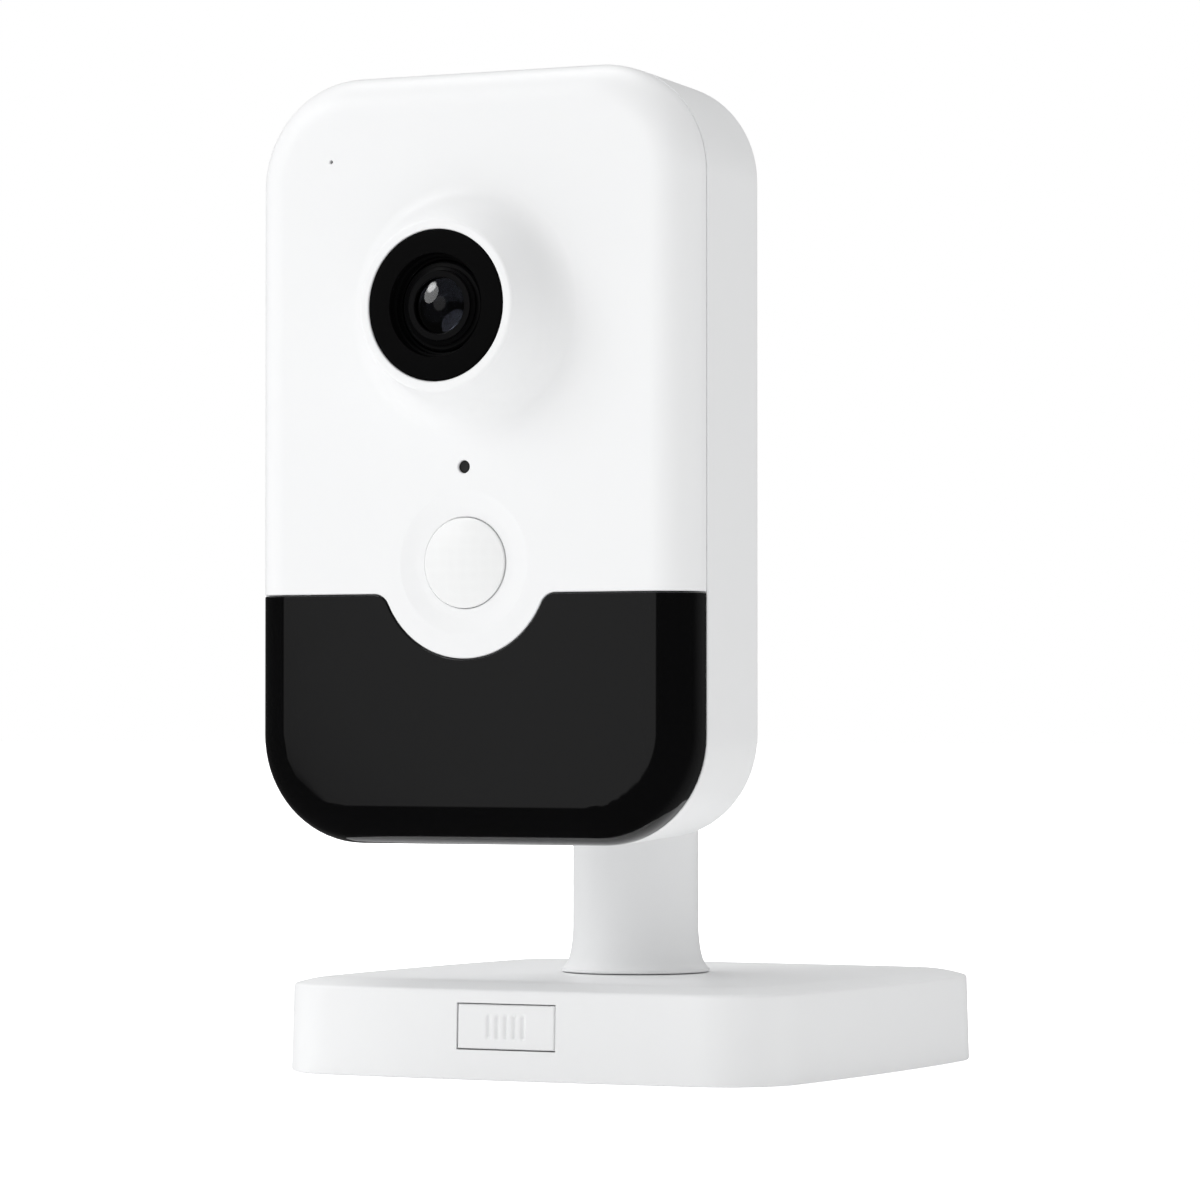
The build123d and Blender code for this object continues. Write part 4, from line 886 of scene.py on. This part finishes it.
def make_base_cover():
    bm = bmesh.new()
    outer = [row(bm, base_loop(inset, z, latch_marks)) for inset, z in base_section()]
    depth = base_wall + side_inset
    stops = (base_low.z, latch_low_z, latch_high_z, base_high.z - base_wall)
    inner = [row(bm, base_loop(depth, z, latch_marks)) for z in stops]
    join(bm, inner[0], outer[0])
    span = range(FIRST_MARK, FIRST_MARK + len(latch_marks))
    join_round_gap(bm, outer, 3, span[:-1])
    join_round_gap(bm, inner, 1, span[:-1])
    hole_out = [outer[3][i] for i in span] + [outer[4][i] for i in reversed(span)]
    hole_in = [inner[1][i] for i in span] + [inner[2][i] for i in reversed(span)]
    join(bm, hole_out, hole_in)
    walls = [(column_bore, base_high.z), (column_bore, base_high.z - base_wall)]
    column_hole = upright_rows(bm, walls, 64)
    join(bm, *column_hole)
    fill_flat(bm, [outer[-1], column_hole[0]])
    fill_flat(bm, [inner[-1], column_hole[1]])
    return finish_piece(bm, "base_cover_skin", "base", stand_white, ["base_cover"], 40)


make_base_cover()

# %% [markdown]
# ## The push latch
# The latch's face follows the bowed wall and carries shallow upright ribs for a fingertip.  It is a
# fine grid whose points are pushed in by a formula: a soft rounding at the border and a groove
# between ribs.

# %% Push latch
latch_gap = 0.16
rib_pitch = 1.3
LATCH_ACROSS = 140
LATCH_UP = 56


def wall_y(x, z):
    """The front wall's surface at this place."""
    radius = side_radius - side_inset / side_top * z
    return -(side_centre + math.sqrt(radius ** 2 - x ** 2))


def latch_face_depth(x, z):
    half_x = latch_half - latch_gap
    half_z = (latch_high_z - latch_low_z) / 2 - latch_gap
    mid_z = (latch_high_z + latch_low_z) / 2
    edge = min(half_x - abs(x), half_z - abs(z - mid_z))
    rounding = 0.28
    soft = 0.0 if edge >= rounding else rounding - math.sqrt(max(0, rounding ** 2 - (rounding - edge) ** 2))
    rib_field = max(0.0, min(1.0, (3.3 - abs(x)) / 0.4)) * max(0.0, min(1.0, (1.75 - abs(z - mid_z)) / 0.4))
    wave = 0.5 + 0.5 * math.cos(2 * math.pi * x / rib_pitch)
    return soft + 0.3 * rib_field * wave ** 2


def make_latch():
    bm = bmesh.new()
    half_x = latch_half - latch_gap
    low = latch_low_z + latch_gap
    high = latch_high_z - latch_gap
    grid = []
    for j in range(LATCH_UP + 1):
        z = low + (high - low) * j / LATCH_UP
        xs = [-half_x + 2 * half_x * i / LATCH_ACROSS for i in range(LATCH_ACROSS + 1)]
        grid.append(row(bm, [(x, wall_y(x, z) + latch_face_depth(x, z), z) for x in xs]))
    join_all(bm, grid, closed=False)
    border = grid[0][:-1] + [r[-1] for r in grid[:-1]] + list(reversed(grid[-1]))[:-1]
    border += [r[0] for r in reversed(grid[1:])]
    latch_low, latch_high = size_of("latch_button")
    flange_y = -(base_middle - base_wall - side_inset) + 0.35
    sides = row(bm, [(v.co.x / MM, flange_y, v.co.z / MM) for v in border])
    join(bm, border, sides)

    def spread(v):
        x = v.co.x / MM * (latch_high.x / half_x)
        z = v.co.z / MM
        mid = (low + high) / 2
        top, bottom = latch_high.z - mid, mid - latch_low.z
        return x, mid + (z - mid) / ((high - low) / 2) * (top if z > mid else bottom)

    flange = row(bm, [(x, flange_y, z) for x, z in map(spread, sides)])
    flange_back = row(bm, [(v.co.x / MM, flange_y + 1.2, v.co.z / MM) for v in flange])
    join_all(bm, [sides, flange, flange_back])
    stem_low, stem_high = latch_low_z + 1.2, latch_high_z - 1.2
    stem = []
    for v in sides:
        x = v.co.x / MM / half_x * 3.0
        z = (stem_low + stem_high) / 2 + (v.co.z / MM - (low + high) / 2) / ((high - low) / 2) * (
            (stem_high - stem_low) / 2)
        stem.append((x, z))
    stem_root = row(bm, [(x, flange_y + 1.2, z) for x, z in stem])
    stem_end = row(bm, [(x, latch_high.y, z) for x, z in stem])
    join_all(bm, [flange_back, stem_root, stem_end])
    bm.faces.new(stem_end)
    return finish_piece(bm, "latch_face", "latch", stand_white, ["latch_button"], 50)


make_latch()

# %% [markdown]
# ## The column
# A round post stands on a small flare that turns in the base.  It is turned about the upright axis.
# Its foot stops a hair above the base, which leaves the fine dark line of a part that swivels.

# %% Column
def make_column():
    foot = base_high.z + 0.12
    radius = 8.7
    flare = bezier((10.35, foot + 0.45), (9.6, foot + 0.9), (9.0, foot + 2.2), (radius + 0.1, foot + 6.0), 12)
    dome_z = column_high.z - radius
    dome = [(r, z) for r, z in arc(0, dome_z, radius, 0, 88, 16)]
    profile = [(0.3, column_low.z), (5.7, column_low.z), (6.0, column_low.z + 0.3), (6.0, foot), (10.1, foot),
               (10.3, foot + 0.06), (10.4, foot + 0.22)] + flare + dome
    bm = bmesh.new()
    join_to_tips(bm, upright_rows(bm, profile, ROUND_STEPS))
    return finish_piece(bm, "column_turned", "stand", stand_white, ["column"], 40)


make_column()

# %% [markdown]
# ## The ball joint
# Behind the head a fluted ring clamps a small steel ball.  The ring is drawn flat, as a circle with a
# scalloped edge, and laid down in rows from its front face to its back, with both edges rounded.

# %% Lock ring
FLUTES = 18
FLUTE_STEPS = 10
ring_low, ring_high = size_of("lock_ring")
ball = centre_of("lock_ring")
ring_outer = (ring_high.z - ring_low.z) / 2
ring_bore = 7.06


def fluted_loop(radius, y, depth):
    """A circle with rounded hollows round its edge."""
    points = []
    for i in range(FLUTES * FLUTE_STEPS):
        turn = 2 * math.pi * i / (FLUTES * FLUTE_STEPS)
        wave = 0.5 + 0.5 * math.cos(turn * FLUTES)
        r = radius - depth * wave ** 3
        points.append((ball.x + r * math.cos(turn), y, ball.z + r * math.sin(turn)))
    return points


def make_lock_ring():
    bm = bmesh.new()
    front, back = ring_low.y, ring_high.y
    steps = FLUTES * FLUTE_STEPS
    rows = [row(bm, ring(ball.x, ball.z, ring_bore, front + 0.2, steps)),
            row(bm, ring(ball.x, ball.z, ring_bore + 0.25, front, steps))]
    for inset, y in ((0.55, front), (0.22, front + 0.1), (0.05, front + 0.32), (0, front + 0.6)):
        rows.append(row(bm, fluted_loop(ring_outer - inset, y, 0.5)))
    for inset, y in ((0, back - 0.6), (0.05, back - 0.32), (0.22, back - 0.1), (0.55, back)):
        rows.append(row(bm, fluted_loop(ring_outer - inset, y, 0.5)))
    rows.append(row(bm, ring(ball.x, ball.z, ring_bore + 0.25, back, steps)))
    rows.append(row(bm, ring(ball.x, ball.z, ring_bore, back - 0.2, steps)))
    join_all(bm, rows)
    join(bm, rows[-1], rows[0])
    return finish_piece(bm, "lock_ring_fluted", "lock_nut", grip_white, ["lock_ring"], 40)


make_lock_ring()

# %% [markdown]
# ## Finishes for the engineering pieces
# The remaining pieces keep their engineering shape, which is already right, and get a finish from
# nodes: circuit boards with a faint pattern of tracks under the lacquer, drawn steel screws, gilt
# contacts, rubber feet.

# %% Finishes for boards, metal and small parts
def circuit_board(name, lacquer, track):
    """Lacquered board: fine square tracks show faintly through the colour."""
    material, tree, shader = new_material(name)
    tracks = tree.nodes.new("ShaderNodeTexVoronoi")
    tracks.distance = "CHEBYCHEV"
    tracks.inputs["Scale"].default_value = 420.0
    tree.links.new(piece_space(tree), tracks.inputs["Vector"])
    tree.links.new(two_tones(tree, tracks.outputs["Distance"], track, lacquer), shader.inputs["Base Color"])
    tree.links.new(remap(tree, tracks.outputs["Distance"], 0.25, 0.4), shader.inputs["Roughness"])
    tree.links.new(bump_from(tree, tracks.outputs["Distance"], 0.15, 0.00005), shader.inputs["Normal"])
    return material


finishes = {
    "screw_steel": brushed("zinc plated screws", (0.55, 0.55, 0.56), 0.35),
    "steel": brushed("plain steel", (0.6, 0.6, 0.61), 0.28, (1.0, 6.0, 1.0)),
    "plated_can": brushed("nickel plated can", (0.7, 0.69, 0.66), 0.2),
    "aluminium": brushed("extruded aluminium", (0.74, 0.75, 0.76), 0.35, (1.0, 1.0, 0.1)),
    "contacts": brushed("gilt contacts", (0.83, 0.62, 0.25), 0.22),
    "board": circuit_board("green circuit board", (0.012, 0.1, 0.045), (0.03, 0.19, 0.08)),
    "lamp_board": circuit_board("black circuit board", (0.012, 0.012, 0.014), (0.04, 0.04, 0.045)),
    "chip": moulded("black chip package", (0.02, 0.02, 0.022), 0.55, tint=0.2, grain_depth=0.1),
    "sensor_chip": moulded("image sensor", (0.03, 0.04, 0.06), 0.12, tint=0.3, coat=1.0, coat_rough=0.02),
    "thermal_pad": moulded("soft thermal pad", (0.35, 0.42, 0.5), 0.8, tint=0.06, grain_depth=0.2),
    "black_plastic": moulded("black moulded plastic", (0.018, 0.018, 0.019), 0.48, tint=0.15,
                             grain_depth=0.12),
    "lamp_clear": clear_glass("clear lamp epoxy", (0.9, 0.9, 0.93), rough=0.05),
    "filter_glass": clear_glass("filter glass", (0.6, 0.86, 0.9), film=520.0),
    "lens_glass": plain_glass,
    "rubber": rubber_black,
    "grey_rubber": moulded("grey button rubber", (0.2, 0.2, 0.205), 0.7, tint=0.05, grain_depth=0.2),
    "light_guide": clear_glass("light guide", (0.9, 0.92, 0.93), rough=0.08),
    "speaker_black": moulded("black speaker basket", (0.02, 0.02, 0.02), 0.6, tint=0.2, grain_depth=0.2),
    "flat_cable": moulded("amber film cable", (0.5, 0.24, 0.04), 0.3, tint=0.08, coat=0.3),
    "nylon": moulded("natural nylon", (0.68, 0.66, 0.6), 0.5, tint=0.03, glow=0.15),
    "white_grip": grip_white,
    "white_base": stand_white,
    "white_shell": satin_white,
    "dark_window": window_black,
    "lens_black": bezel_black,
    "anodised_black": barrel_black,
    "sensor_lens": sensor_film,
}

slot_of = {part["node"]: part["material_slot"] for part in frame["record"]["subparts"]}
for name, node in nodes.items():
    node.data.materials.clear()
    node.data.materials.append(finishes[slot_of[name]])
    if not node.hide_render:
        node.data.polygons.foreach_set("use_smooth", [True] * len(node.data.polygons))
        split = node.modifiers.new("crisp edges", "EDGE_SPLIT")
        split.split_angle = math.radians(30)
print("finished nodes:", len(nodes))

# %% [markdown]
# ## Floor, light and camera
# The object is shown as in a catalogue: on flat white paper, with a broad soft key from the left, a
# soft light from above and behind, and a pale surround.  The floor is far larger than the picture, so
# its edge never shows.  A camera ray sees it at full white, and every other ray meets a weaker glow,
# because a floor that truly shone that brightly would flood the head from below.

# %% White floor
FLOOR_GLOW = 0.24


def make_floor():
    bm = bmesh.new()
    reach = 9000.0
    corners = [(-reach, -reach, 0.0), (reach, -reach, 0.0), (reach, reach, 0.0), (-reach, reach, 0.0)]
    bm.faces.new(row(bm, corners))
    mesh = bpy.data.meshes.new("floor")
    bm.to_mesh(mesh)
    bm.free()
    floor = bpy.data.objects.new("floor", mesh)
    bpy.context.scene.collection.objects.link(floor)
    paper = moulded("white paper", (0.93, 0.93, 0.93), 0.9, tint=0.003, grain=900, grain_depth=0.02,
                    shine=0.0)
    tree = paper.node_tree
    glow = tree.nodes["Principled BSDF"]
    glow.inputs["Emission Color"].default_value = (1.0, 1.0, 1.0, 1.0)
    seen = tree.nodes.new("ShaderNodeLightPath")
    strength = remap(tree, seen.outputs["Is Camera Ray"], FLOOR_GLOW, 1.0)
    tree.links.new(strength, glow.inputs["Emission Strength"])
    floor.data.materials.append(paper)
    floor.visible_glossy = False


make_floor()

# %% Lights
target = Vector((0.0, -0.02, 0.07))


def soft_light(name, place, size, power):
    light = bpy.data.lights.new(name, "AREA")
    light.shape = "DISK"
    light.size = size
    light.energy = power
    lamp = bpy.data.objects.new(name, light)
    lamp.location = place
    lamp.rotation_euler = (target - lamp.location).to_track_quat("-Z", "Y").to_euler()
    bpy.context.scene.collection.objects.link(lamp)
    return lamp


soft_light("key from the left", Vector((-1.15, -1.15, 0.85)), 1.1, 8.6)
soft_light("top from behind", Vector((-0.35, 0.25, 1.5)), 1.0, 8.0)

# %% [markdown]
# The surround does three jobs.  It shows pale behind the object, it lights the object evenly from
# all round, and it is what polished surfaces mirror: a studio that is mostly dark, with a soft panel
# in front and some light behind, so the window's rounded rim turns dark as it does on the real one.

# %% Surround
world = bpy.data.worlds.new("studio surround")
bpy.context.scene.world = world
world.use_nodes = True
studio = world.node_tree


def panel_towards(direction, inner, outer, strength):
    """A soft round panel in the mirrored studio, as a strength that fades between two cosines."""
    place = studio.nodes.new("ShaderNodeTexCoord")
    facing = studio.nodes.new("ShaderNodeVectorMath")
    facing.operation = "DOT_PRODUCT"
    facing.inputs[1].default_value = Vector(direction).normalized()
    studio.links.new(place.outputs["Generated"], facing.inputs[0])
    fade = studio.nodes.new("ShaderNodeMapRange")
    fade.interpolation_type = "SMOOTHSTEP"
    fade.inputs["From Min"].default_value = outer
    fade.inputs["From Max"].default_value = inner
    fade.inputs["To Max"].default_value = strength
    studio.links.new(facing.outputs["Value"], fade.inputs["Value"])
    return fade.outputs["Result"]


def connect(value, socket):
    """Give an input socket either a plain number or the output of another node."""
    if isinstance(value, float):
        socket.default_value = value
    else:
        studio.links.new(value, socket)


def brighter(strength, more):
    """The sum of two strengths."""
    add = studio.nodes.new("ShaderNodeMath")
    add.operation = "ADD"
    connect(strength, add.inputs[0])
    connect(more, add.inputs[1])
    return add.outputs[0]


def for_rays(kind, strength, otherwise):
    """One strength for this kind of ray, and another for the rest."""
    mix = studio.nodes.new("ShaderNodeMix")
    connect(rays.outputs[kind], mix.inputs[0])
    connect(otherwise, mix.inputs[2])
    connect(strength, mix.inputs[3])
    return mix.outputs[0]


AMBIENT = 0.66
STUDIO_LIFT = 0.03
rays = studio.nodes.new("ShaderNodeLightPath")
front_panel = panel_towards((-0.3224, -0.9363, 0.1392), 0.9736, 0.958, 0.37)
light_behind = panel_towards((0.1, 0.95, -0.3), 0.8, 0.35, 0.08)
lens_highlight = panel_towards((-0.650, -0.470, 0.597), 0.992, 0.980, 8.0)
mirrored = brighter(brighter(brighter(front_panel, light_behind), lens_highlight), STUDIO_LIFT)
seen_strength = for_rays("Is Camera Ray", 1.0, for_rays("Is Glossy Ray", mirrored, AMBIENT))
background = studio.nodes["Background"]
background.inputs["Color"].default_value = (1.0, 1.0, 1.0, 1.0)
connect(seen_strength, background.inputs["Strength"])
bpy.context.scene.view_settings.view_transform = "Standard"

# %% [markdown]
# ## Camera
# A long lens from a little to the right, just above the base's height and tipped very slightly
# upward, keeps the head's verticals upright and shows its right side.

# %% Camera
camera_data = bpy.data.cameras.new("camera")
camera_data.lens = 160.96
camera_data.sensor_width = 36.0
camera_data.clip_end = 50.0
camera = bpy.data.objects.new("camera", camera_data)
camera.location = (0.33823, -0.67363, 0.04880)
look = Vector((-0.454546, 0.890445, 0.022256))
camera.rotation_euler = look.to_track_quat("-Z", "Y").to_euler()
bpy.context.scene.collection.objects.link(camera)
bpy.context.scene.camera = camera
